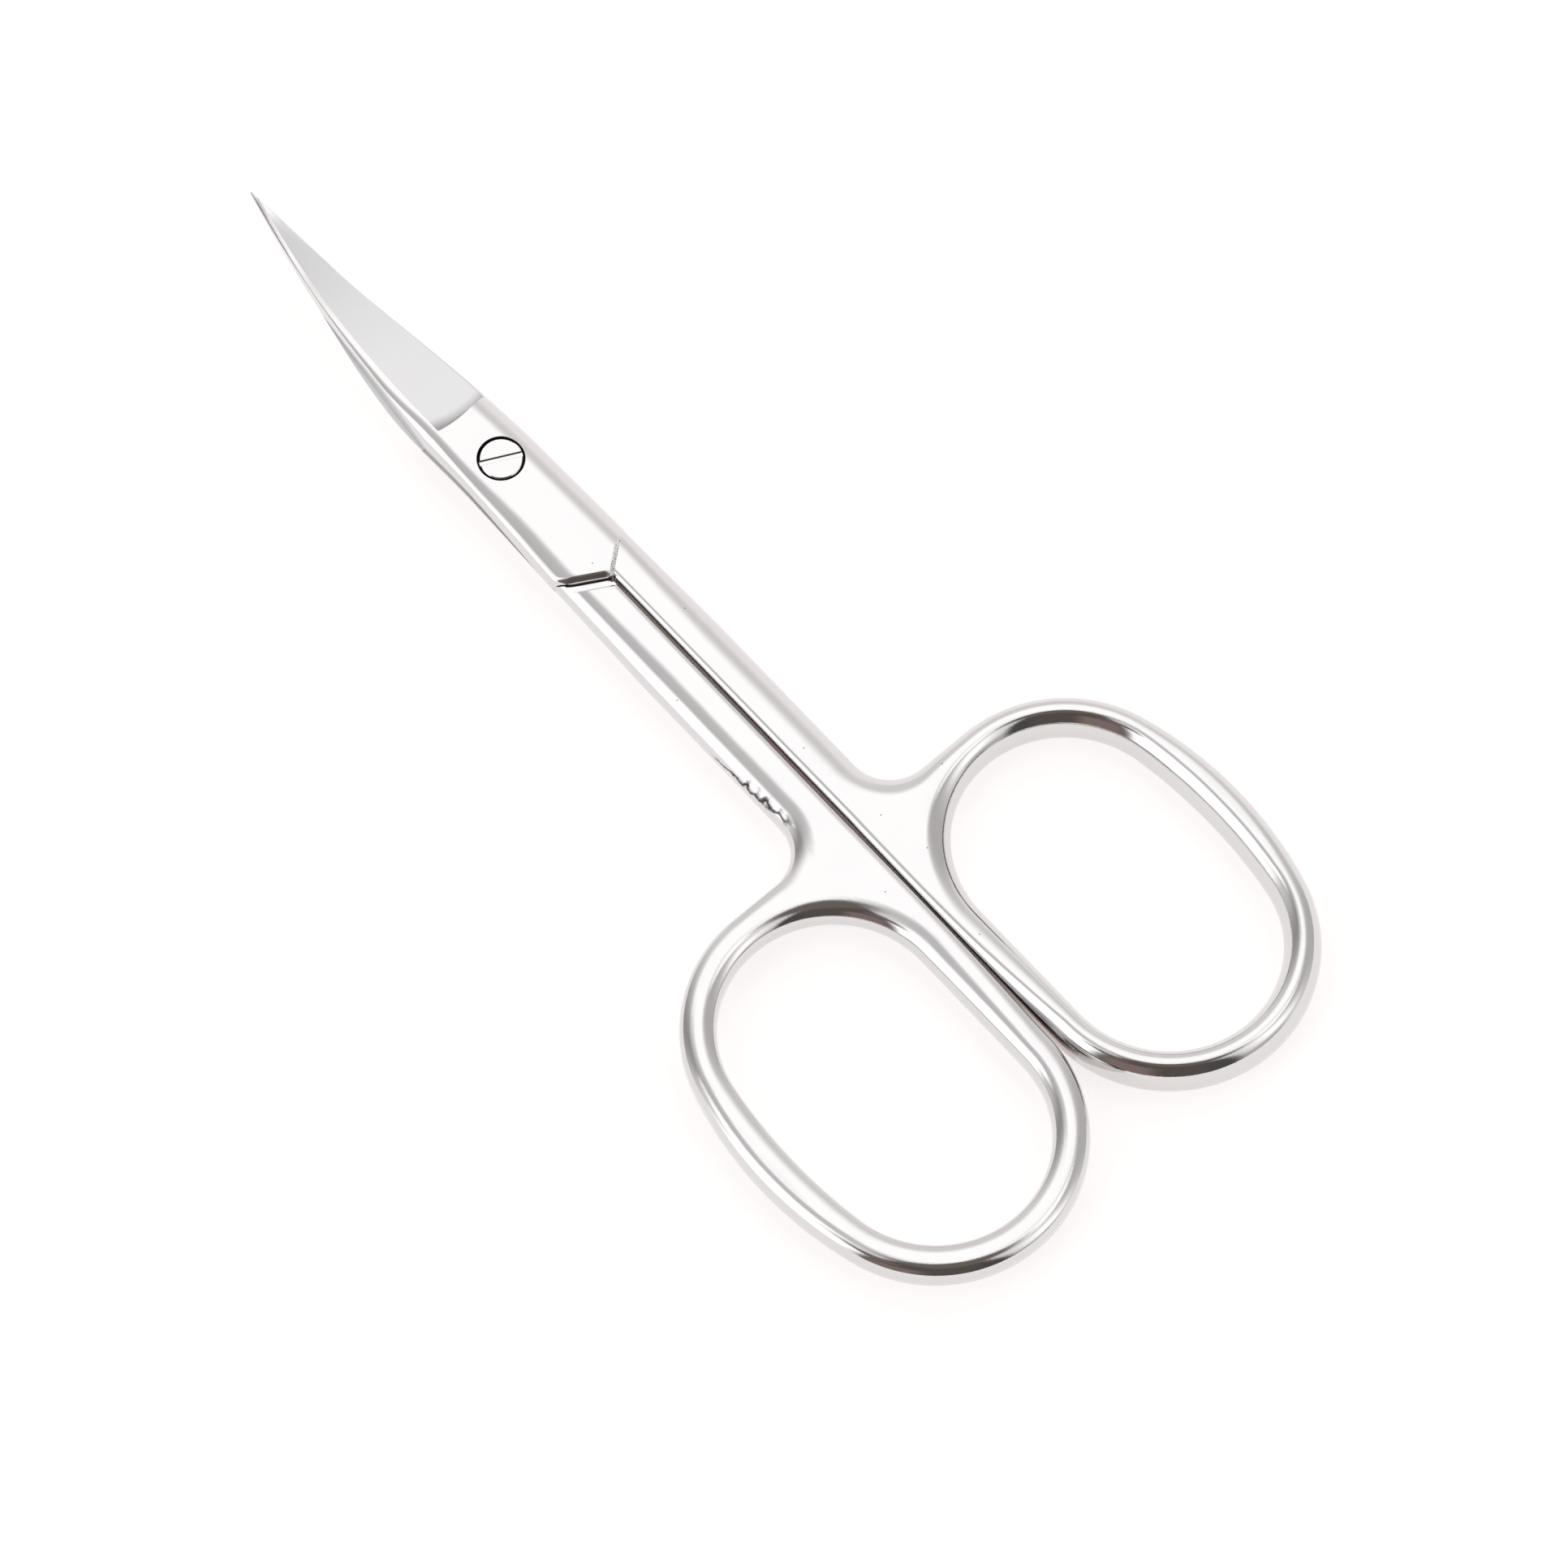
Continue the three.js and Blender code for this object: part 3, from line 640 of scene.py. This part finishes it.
def leaf_stations():
    """Stations of the skin: x on the axis, how far it follows the leaf's end, and its distance inside."""
    bow_start = SHOULDER - BOW_FADE
    slope_end = SHOULDER + SHOULDER_RUN
    stations = []
    for share in shares(LIP_STEPS):
        inside = LEAF_LIP * (1 - math.sin(DOME_TILT * (1 - share)) / math.sin(DOME_TILT))
        stations.append((-V_APEX + inside / math.sin(FREE_HALF_ANGLE), 1.0, inside))
    lip_end = stations[-1][0]
    stations += [(lerp(lip_end, bow_start, share), 1 - share, LEAF_LIP) for share in shares(LEAF_STEPS)[1:]]
    plain = [lerp(bow_start, SHOULDER, share) for share in shares(BOW_STEPS)[1:]]
    plain += [lerp(SHOULDER, slope_end, share) for share in shares(SHOULDER_STEPS)[1:]]
    plain += [lerp(slope_end, BLADE_LENGTH, share) for share in shares(BLADE_STEPS)[1:]]
    return stations + [(x, 0.0, LEAF_LIP) for x in plain]


def leaf_and_blade():
    """Leaf and blade in one skin, still straight. Near the shoulder the sections are bowed in plan."""
    vertices, faces, slots = [], [], []
    stations = leaf_stations()
    sections = [half_section(x) for x, _, _ in stations]
    count = len(sections[0])
    for (x, follow, inside), section in zip(stations, sections):
        near = 1 - smoothstep(abs(x - SHOULDER), 0, BOW_FADE)
        for (y, z), _ in section:
            along = x + follow * end_shift(y) + near * y * y / (2 * WHEEL_RADIUS)
            fall = lip_fall(inside, y)
            if z > INNER_FACE and fall > 0:
                z = max(z - fall, INNER_FACE + EDGE_LAND)
            vertices.append(Vector((along, y, z)))
    faces += bands(0, len(stations), count)
    for (x, _, _), section in zip(stations[:-1], sections):
        for i in range(count):
            ground = section[i][1] and section[(i + 1) % count][1] and x >= SHOULDER
            slots.append(GROUND if ground else POLISHED)
    last = (len(sections) - 1) * count
    half = count // 2
    for i in range(half - 1):
        a, b = i, count - 1 - i
        faces.append((a, b, b - 1, a + 1))
        faces.append((last + a, last + a + 1, last + b - 1, last + b))
        slots += [POLISHED, POLISHED]
    return new_object("leaf_and_blade", vertices, faces, slots)


def outward(obj):
    """Turns all faces of a closed mesh outwards."""
    mesh = bmesh.new()
    mesh.from_mesh(obj.data)
    bmesh.ops.recalc_face_normals(mesh, faces=mesh.faces)
    mesh.to_mesh(obj.data)
    mesh.free()
    return obj


def prism(name, outline, place):
    """Closed prism: an anticlockwise outline of (u, v), placed by a function of (u, v, end)."""
    count = len(outline)
    vertices = [place(u, v, end) for end in (0, 1) for u, v in outline]
    faces = [tuple(reversed(range(count))), tuple(range(count, 2 * count))]
    return outward(new_object(name, vertices, faces + bands(0, 2, count)))


def upright(name, outline):
    """Upright prism that reaches past the scissors above and below."""
    return prism(name, outline, lambda u, v, top: Vector((u, v, CUT_REACH if top else -CUT_REACH)))


def arm_tool():
    """Upright tool that trims the leaf along the arm of the V on its own shank."""
    arm = V_POINT + Vector((math.cos(V_HALF_ANGLE), -math.sin(V_HALF_ANGLE))) * CUT_REACH
    return upright("arm_tool", [tuple(V_POINT), (-CUT_REACH, 0), (-CUT_REACH, arm.y), tuple(arm)])


def step_tool():
    """Tool that clears the underside of a shank for the other half's leaf, with a ledge at its mouth."""
    ledge = STEP_DEPTH - SHANK_TOP
    levels = [
        (STEP_RELIEF + STEP_LEDGE + 2 * STEP_SLOPE, ledge - 2 * STEP_DEPTH),
        (STEP_RELIEF + STEP_LEDGE, ledge),
        (STEP_RELIEF, ledge),
        (STEP_RELIEF, INNER_FACE + STEP_OVERLAP),
    ]
    loops = []
    for set_back, height in levels:
        end = leaf_end(set_back)
        outline = end + [Vector((CUT_REACH, end[-1].y)), Vector((CUT_REACH, end[0].y))]
        loops.append([Vector((point.x, -point.y, height)) for point in outline])
    return outward(loft("step_tool", loops))


def arm_wedge(start, end):
    """Wedge along the outer arm of the V for a bevel through two points: distance behind the arm, height."""
    run = end - start
    low = start - run * BEVEL_OVERRUN
    high = end + run * BEVEL_OVERRUN
    arm = Vector((math.cos(V_HALF_ANGLE), -math.sin(V_HALF_ANGLE), 0))
    back = Vector((-math.sin(V_HALF_ANGLE), -math.cos(V_HALF_ANGLE), 0))
    origin = Vector((-V_APEX, 0, 0))

    def place(u, v, far):
        return origin + back * u + Vector((0, 0, v)) + arm * (CUT_REACH if far else 0)

    wedge = prism("arm_wedge", [tuple(low), tuple(high), (low.x, high.y)], place)
    for face in wedge.data.polygons:
        face.material_index = ROUGH
    return wedge


def pivot_bar(radius, bottom, top):
    """Tool for the holes round the pivot, which leaves walls painted near black as the shade deep in the
    gaps.
    """
    outline = arc(0, 0, radius, 0, 2 * math.pi, SCREW_SIDES)[:-1]
    bar = prism("bar", [tuple(p) for p in outline], lambda u, v, end: Vector((u, v, top if end else bottom)))
    for face in bar.data.polygons:
        face.material_index = PAINTED_SHADE
    return bar


def straight_half(name, materials):
    """One half before its blade is curved, lying as the upper half does."""
    leaf = leaf_and_blade()
    shank = handle()
    for obj in (leaf, shank):
        for material in materials:
            obj.data.materials.append(material)
    combine(leaf, arm_tool(), "DIFFERENCE")
    combine(leaf, arm_wedge(Vector((0, SHANK_TOP)), Vector((-V_BEVEL, LEAF_TOP))), "DIFFERENCE")
    combine(shank, step_tool(), "DIFFERENCE")
    combine(shank, leaf, "UNION")
    shank.name = name
    return shank


def curve_blade(obj):
    """Sets the blade a little sideways and lifts it by a height that grows with its reach from the pivot."""
    for vertex in obj.data.vertices:
        x, y, z = vertex.co
        if x > 0:
            y += SIDE_SET * smoothstep(x, 0, SIDE_SET_RUN)
            y += SIDE_BOW * math.sin(math.pi * x / BLADE_LENGTH)
            z += max(math.hypot(x, y) - CURVE_START, 0) ** 2 / (2 * CURVE_RADIUS)
            vertex.co = (x, y, z)
    return obj


def part_finishes(obj):
    """Keeps the line crisp where ground steel meets polished steel."""
    mesh = bmesh.new()
    mesh.from_mesh(obj.data)
    for edge in mesh.edges:
        if {face.material_index for face in edge.link_faces} == {POLISHED, GROUND}:
            edge.smooth = False
    mesh.to_mesh(obj.data)
    mesh.free()


def settle(obj):
    """Scales a finished piece to metres, stands it on the frame and smooths its shading."""
    obj.data.transform(Matrix.Scale(MM, 4) @ Matrix.Translation((0, 0, MIDDLE_HEIGHT)))
    obj.data.shade_smooth()
    obj.data.set_sharp_from_angle(angle=SMOOTH_LIMIT)
    part_finishes(obj)
    weighted = obj.modifiers.new("weighted_normals", "WEIGHTED_NORMAL")
    weighted.keep_sharp = True
    return obj


def upper_half(materials):
    half = curve_blade(straight_half("upper_half_steel", materials))
    seat = LEAF_TOP - SCREW_HEAD_HEIGHT - SEAT_CLEARANCE
    combine(half, pivot_bar(SCREW_HEAD_RADIUS + HEAD_CLEARANCE, seat, CUT_REACH), "DIFFERENCE")
    combine(half, pivot_bar(SCREW_NECK_RADIUS + NECK_CLEARANCE, -CUT_REACH, CUT_REACH), "DIFFERENCE")
    return settle(half)


def lower_half(materials):
    """The same forging turned over before its blade is curved."""
    half = straight_half("lower_half_steel", materials)
    half.data.transform(Matrix.Rotation(math.pi, 4, "X"))
    curve_blade(half)
    combine(half, pivot_bar(SCREW_NECK_RADIUS + THREAD_CLEARANCE, -CUT_REACH, CUT_REACH), "DIFFERENCE")
    return settle(half)


def pivot_screw(material):
    seat = LEAF_TOP - SCREW_HEAD_HEIGHT
    profile = [
        (SCREW_NECK_RADIUS, -LEAF_TOP),
        (SCREW_NECK_RADIUS, seat),
        (SCREW_HEAD_RADIUS, seat),
        (SCREW_HEAD_RADIUS, LEAF_TOP - SCREW_EDGE_BREAK),
        (SCREW_HEAD_RADIUS - SCREW_EDGE_BREAK, LEAF_TOP),
    ]
    loops = []
    for radius, height in profile:
        ring = arc(0, 0, radius, 0, 2 * math.pi, SCREW_SIDES)[:-1]
        loops.append([Vector((p.x, p.y, height)) for p in ring])
    screw = loft("pivot_screw_steel", loops)
    screw.data.materials.append(material)
    along = Vector((math.cos(SLOT_ANGLE), math.sin(SLOT_ANGLE), 0))
    across = Vector((-along.y, along.x, 0))
    half, spread = SLOT_WIDTH / 2, SLOT_WIDTH / 2 + SLOT_BREAK + SLOT_DEPTH
    corners = [(-half, -SLOT_DEPTH), (half, -SLOT_DEPTH), (half, -SLOT_BREAK)]
    corners += [(spread, SLOT_DEPTH), (-spread, SLOT_DEPTH), (-half, -SLOT_BREAK)]

    def place(v, z, end):
        return along * (CUT_REACH if end else -CUT_REACH) + across * v + Vector((0, 0, LEAF_TOP + z))

    combine(screw, prism("slot", corners, place), "DIFFERENCE")
    return settle(screw)


class Shading:
    """Short ways to add nodes to the node tree of a material or a world."""

    def __init__(self, owner):
        owner.use_nodes = True
        self.nodes = owner.node_tree.nodes
        self.links = owner.node_tree.links

    def put(self, socket, value):
        if isinstance(value, bpy.types.NodeSocket):
            self.links.new(value, socket)
        else:
            socket.default_value = value

    def add(self, kind, inputs, **settings):
        node = self.nodes.new("ShaderNode" + kind)
        for name, value in settings.items():
            setattr(node, name, value)
        for name, value in inputs.items():
            self.put(node.inputs[name], value)
        return node

    def place(self):
        """Coordinates on the piece itself, in metres."""
        return self.add("TexCoord", {}).outputs["Object"]

    def math(self, operation, a, b=0.0):
        return self.add("Math", {0: a, 1: b}, operation=operation).outputs[0]

    def fade(self, value, start, end, low=0.0, high=1.0):
        """Smooth change from low to high while the value goes from start to end."""
        inputs = {"Value": value, "From Min": start, "From Max": end, "To Min": low, "To Max": high}
        return self.add("MapRange", inputs, interpolation_type="SMOOTHSTEP").outputs["Result"]

    def noise(self, place, size, detail=2.0):
        """Noise with features of about one size, in metres."""
        return self.add("TexNoise", {"Vector": place, "Scale": 1 / size, "Detail": detail}).outputs["Fac"]

    def stretched(self, place, along, across):
        """Coordinates counted in features that are long or short along the scissors."""
        return self.add("Mapping", {"Vector": place, "Scale": (1 / along, 1 / across, 1 / across)}).outputs[0]

    def bump(self, height, distance, normal=None):
        inputs = {"Height": height, "Distance": distance, "Strength": 1.0}
        if normal:
            inputs["Normal"] = normal
        return self.add("Bump", inputs).outputs["Normal"]

    def mix(self, share, a, b):
        """Colour between two colours."""
        inputs = {MIX_SHARE: share, MIX_A: a, MIX_B: b}
        return self.add("Mix", inputs, data_type="RGBA").outputs[MIX_COLOUR]


def metal(name, colour, roughness):
    """Plain steel to build a finish on: its shading and its shader."""
    material = bpy.data.materials.new(name)
    shading = Shading(material)
    shader = shading.nodes["Principled BSDF"]
    shader.inputs["Base Color"].default_value = colour
    shader.inputs["Metallic"].default_value = 1
    shader.inputs["Roughness"].default_value = roughness
    return material, shading, shader


def plating_crack(shading, place):
    """Mask of a ragged line along the outer edge of one shank."""
    axes = shading.add("SeparateXYZ", {0: place}).outputs
    ragged = shading.noise(place, CRACK_SIZE, detail=5)
    wobble = shading.fade(ragged, *NOISE_SPAN, -CRACK_SWAY, CRACK_SWAY)
    height = shading.math("ADD", shading.math("MULTIPLY", axes["X"], CRACK_CLIMB), axes["Z"])
    height = shading.math("SUBTRACT", shading.math("ADD", height, wobble), CRACK_LEVEL)
    line = shading.fade(shading.math("ABSOLUTE", height), CRACK_WIDTH, 0)
    for value, start, end in (
        (axes["X"], CRACK_REAR - CRACK_FADE, CRACK_REAR),
        (axes["X"], CRACK_FRONT + CRACK_FADE, CRACK_FRONT),
        (axes["Y"], *CRACK_SIDE),
    ):
        line = shading.math("MULTIPLY", line, shading.fade(value, start, end))
    return line


def polished_steel():
    """Bright plated steel with faint polishing streaks, soft waves, a few pits and a crack in the plating."""
    material, shading, shader = metal("polished_steel", STEEL, POLISH_ROUGHNESS[0])
    coordinates = shading.add("TexCoord", {}).outputs
    place = coordinates["Object"]
    cloud = shading.noise(place, CLOUD_SIZE, detail=3)
    colour = shading.mix(cloud, STEEL, STEEL_SHADE)
    spots = shading.add("TexVoronoi", {"Vector": place, "Scale": 1 / PIT_SPACING}, voronoi_dimensions="2D")
    pits = shading.fade(spots.outputs["Distance"], PIT_SIZE / PIT_SPACING, 0)
    facing = shading.add("SeparateXYZ", {0: coordinates["Normal"]}).outputs["Z"]
    pits = shading.math("MULTIPLY", pits, shading.fade(shading.math("ABSOLUTE", facing), *PIT_FACING))
    marks = shading.math("MAXIMUM", pits, plating_crack(shading, place))
    shading.put(shader.inputs["Base Color"], shading.mix(marks, colour, PIT))
    streaks = shading.noise(shading.stretched(place, STREAK_LENGTH, STREAK_WIDTH), 1.0)
    shading.put(shader.inputs["Roughness"], shading.fade(streaks, *STREAK_SPAN, *POLISH_ROUGHNESS))
    waves = shading.bump(shading.noise(place, WAVE_SIZE), WAVE_HEIGHT)
    shading.put(shader.inputs["Normal"], shading.bump(streaks, STREAK_HEIGHT, waves))
    return material


def ground_steel():
    """Satin steel with fine grinding lines across the blade, and painted shade in the hollow at the shoulder.
    """
    material, shading, shader = metal("ground_steel", GROUND_STEEL, GROUND_ROUGHNESS)
    place = shading.place()
    lines = shading.noise(shading.stretched(place, GRIND_WIDTH, GRIND_LENGTH), 1.0, detail=3)
    cloud = shading.noise(place, CLOUD_SIZE, detail=4)
    axes = shading.add("SeparateXYZ", {0: place}).outputs
    squared = shading.math("POWER", axes["Y"], 2.0)
    bow = shading.math("MULTIPLY", squared, 1 / (2 * WHEEL_RADIUS * MM))
    past = shading.math("SUBTRACT", axes["X"], bow)
    # painted shade in the hollow of the shoulder, kept off the mating face
    shoulder_shade = shading.fade(past, SHOULDER * MM + SHOULDER_SHADE_RUN, SHOULDER * MM)
    apart = shading.math("ABSOLUTE", shading.math("SUBTRACT", axes["Z"], MIDDLE_HEIGHT * MM))
    shoulder_shade = shading.math("MULTIPLY", shoulder_shade, shading.fade(apart, *SHOULDER_SHADE_RISE))
    colour = shading.mix(cloud, GROUND_STEEL, GROUND_SHADE)
    shading.put(shader.inputs["Base Color"], shading.mix(shoulder_shade, colour, SHOULDER_PAINTED_SHADE))
    shading.put(shader.inputs["Normal"], shading.bump(lines, GRIND_HEIGHT))
    return material


def screw_steel():
    """Bright screw, a little duller than the halves."""
    material, shading, shader = metal("screw_steel", STEEL, SCREW_ROUGHNESS[0])
    place = shading.place()
    cloud = shading.noise(place, CLOUD_SIZE, detail=3)
    shading.put(shader.inputs["Base Color"], shading.mix(cloud, STEEL, STEEL_SHADE))
    shading.put(shader.inputs["Roughness"], shading.fade(cloud, *NOISE_SPAN, *SCREW_ROUGHNESS))
    return material


def painted_shade_steel():
    """Walls of the holes round the pivot, painted near black as the shade deep in the gaps."""
    material, shading, shader = metal("painted_shade_steel", PAINTED_SHADE_BLACK, PAINTED_SHADE_ROUGHNESS)
    shader.inputs["Metallic"].default_value = 0
    place = shading.place()
    specks = shading.noise(place, PAINTED_SHADE_SPECK_SIZE, detail=3)
    shading.put(shader.inputs["Base Color"], shading.mix(specks, PAINTED_SHADE_BLACK, PAINTED_SHADE_SPECK))
    return material


def raw_steel():
    """Duller steel between the shanks, streaked along them."""
    material, shading, shader = metal("raw_steel", RAW_STEEL, RAW_ROUGHNESS)
    place = shading.place()
    streaks = shading.noise(shading.stretched(place, RAW_LENGTH, RAW_WIDTH), 1.0, detail=3)
    shading.put(shader.inputs["Base Color"], shading.mix(streaks, RAW_STEEL, RAW_SHADE))
    shading.put(shader.inputs["Normal"], shading.bump(streaks, RAW_HEIGHT))
    return material


def rough_steel():
    """Pale, grainy bevel along the V."""
    material, shading, shader = metal("rough_steel", ROUGH_STEEL, ROUGH_ROUGHNESS)
    place = shading.place()
    specks = shading.noise(place, ROUGH_SIZE, detail=4)
    dark = shading.fade(specks, *ROUGH_SPAN)
    shading.put(shader.inputs["Base Color"], shading.mix(dark, ROUGH_STEEL, ROUGH_SHADE))
    shading.put(shader.inputs["Normal"], shading.bump(specks, ROUGH_HEIGHT))
    return material


def floor():
    """Pale floor that reads as white, also in the steel, and keeps a faint shadow."""
    bpy.ops.mesh.primitive_plane_add(size=FLOOR_SIZE)
    plane = bpy.context.object
    plane.name = "floor"
    material = bpy.data.materials.new("pale_floor")
    shading = Shading(material)
    shader = shading.nodes["Principled BSDF"]
    shader.inputs["Base Color"].default_value = FLOOR_COLOUR
    shader.inputs["Roughness"].default_value = FLOOR_ROUGHNESS
    shader.inputs["Specular IOR Level"].default_value = 0
    rays = shading.add("LightPath", {}).outputs
    seen = shading.math("MAXIMUM", rays["Is Camera Ray"], rays["Is Glossy Ray"])
    seen = shading.math("MAXIMUM", seen, rays["Is Transmission Ray"])
    white = shading.add("Emission", {"Color": FLOOR_WHITE, "Strength": FLOOR_GLOW})
    share = shading.math("MULTIPLY", seen, FLOOR_GLOW_SHARE)
    mixed = shading.add("MixShader", {0: share, 1: shader.outputs[0], 2: white.outputs[0]})
    shading.put(shading.nodes["Material Output"].inputs["Surface"], mixed.outputs[0])
    plane.data.materials.append(material)


class Studio:
    """World made of soft walls, lamps and dark openings, painted one over another."""

    def __init__(self, colour):
        world = bpy.data.worlds.new("studio")
        bpy.context.scene.world = world
        self.shading = Shading(world)
        self.direction = self.shading.add("TexCoord", {}).outputs["Generated"]
        across = self.shading.add("SeparateXYZ", {0: self.direction}).outputs
        self.elevation = self.shading.math("ARCSINE", across["Z"])
        self.colour = colour

    def paint(self, mask, colour):
        self.colour = self.shading.mix(mask, self.colour, colour)

    def wall(self, azimuth, half_width, side_blur, low, high, rise_blur, colour):
        """Upright panel between two elevations, all in degrees."""
        azimuth, half_width, side_blur = map(math.radians, (azimuth, half_width, side_blur))
        low, high, rise_blur = map(math.radians, (low, high, rise_blur))
        turned = self.shading.add(
            "VectorRotate", {"Vector": self.direction, "Angle": -azimuth}, rotation_type="Z_AXIS"
        )
        axes = self.shading.add("SeparateXYZ", {0: turned.outputs[0]}).outputs
        aside = self.shading.math("ABSOLUTE", self.shading.math("ARCTAN2", axes["Y"], axes["X"]))
        mask = self.shading.fade(aside, half_width + side_blur / 2, half_width - side_blur / 2)
        above = self.shading.fade(self.elevation, low - rise_blur / 2, low + rise_blur / 2)
        below = self.shading.fade(self.elevation, high + rise_blur / 2, high - rise_blur / 2)
        mask = self.shading.math("MULTIPLY", mask, self.shading.math("MULTIPLY", above, below))
        self.paint(mask, colour)

    def disc(self, azimuth, elevation, radius, blur, colour):
        """Round panel, in degrees."""
        azimuth, elevation, radius, blur = map(math.radians, (azimuth, elevation, radius, blur))
        flat = math.cos(elevation)
        aim = (flat * math.cos(azimuth), flat * math.sin(azimuth), math.sin(elevation))
        facing = self.shading.add("VectorMath", {0: self.direction, 1: aim}, operation="DOT_PRODUCT")
        rim, core = math.cos(radius + blur / 2), math.cos(max(radius - blur / 2, 0))
        self.paint(self.shading.fade(facing.outputs["Value"], rim, core), colour)

    def light(self):
        self.shading.put(self.shading.nodes["Background"].inputs["Color"], self.colour)


def grey(value, warmth=0.0):
    """Grey that loses some green, and more blue, when it is warm."""
    return (value, value * (1 - warmth), value * (1 - WARM_BLUE * warmth), 1)


def studio():
    """Room that the steel mirrors: pale panels, and dark openings round the camera."""
    room = Studio(grey(0.86, 0.02))
    room.wall(330, 34, 40, 44, 120, 26, grey(1.4))  # great panel that the flat tops mirror
    room.disc(16, 73, 9, 17, grey(0.69))  # grey gap beside it, for the bands along shanks and leaves
    room.wall(255, 24, 36, -20, 70, 22, grey(0.58, 0.02))  # grey wall behind the blades
    room.disc(248, 74, 10, 8, grey(1.4))  # lamp over it, for the strip along the blade
    room.wall(193, 16, 16, -20, 22, 16, (0.58, 0.54, 0.53, 1))  # dull wall, low
    room.wall(207, 13, 28, 18, 58, 22, grey(1.5))  # pale panel over it
    room.wall(290, 18, 24, -30, 12, 30, grey(1.06, 0.02))  # pale wall, low
    room.wall(25, 18, 40, -20, 62, 25, grey(0.37, 0.02))  # grey wall on the far side
    room.wall(79, 19, 14, -20, 60, 10, grey(1.55))  # pale panel beside the dark room
    room.disc(66, 55, 14, 10, grey(1.5))  # its upper corner
    room.wall(138.5, 41, 12, -20, 84, 10, (0.112, 0.096, 0.089, 1))  # dark room behind the camera
    room.wall(116, 15, 14, -20, 48, 20, (0.25, 0.19, 0.178, 1))  # its browner side
    room.wall(170, 8, 10, -20, 50, 20, (0.085, 0.082, 0.085, 1))  # its darkest side
    room.disc(97, 60, 7, 10, (0.2, 0.17, 0.165, 1))  # dark patch over the pale panel
    room.disc(172, 81, 13, 10, (0.17, 0.15, 0.14, 1))  # dark patch overhead
    room.light()


def camera():
    data = bpy.data.cameras.new("camera")
    data.lens = CAMERA_LENS
    data.sensor_width = CAMERA_SENSOR
    obj = bpy.data.objects.new("camera", data)
    flat = math.cos(CAMERA_ELEVATION)
    back = Vector((
        flat * math.cos(CAMERA_AZIMUTH),
        flat * math.sin(CAMERA_AZIMUTH),
        math.sin(CAMERA_ELEVATION),
    ))
    obj.location = CAMERA_AIM + back * CAMERA_DISTANCE
    obj.rotation_euler = (-back).to_track_quat("-Z", "Y").to_euler()
    data.clip_start = CAMERA_NEAR
    bpy.context.scene.collection.objects.link(obj)
    bpy.context.scene.camera = obj


# the finishes, and the painted shade for the holes round the pivot
finishes = [polished_steel(), ground_steel(), painted_shade_steel(), raw_steel(), rough_steel()]
pieces = [
    (upper_half(finishes), "upper_half", "upper_half", "polished_steel"),
    (lower_half(finishes), "lower_half", "lower_half", "polished_steel"),
    (pivot_screw(screw_steel()), "lower_half", "pivot_screw", "screw_steel"),
]
for piece, body, node, slot in pieces:
    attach(piece, body)
    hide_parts(node)
floor()
studio()
camera()
bpy.context.scene.view_settings.view_transform = "Standard"
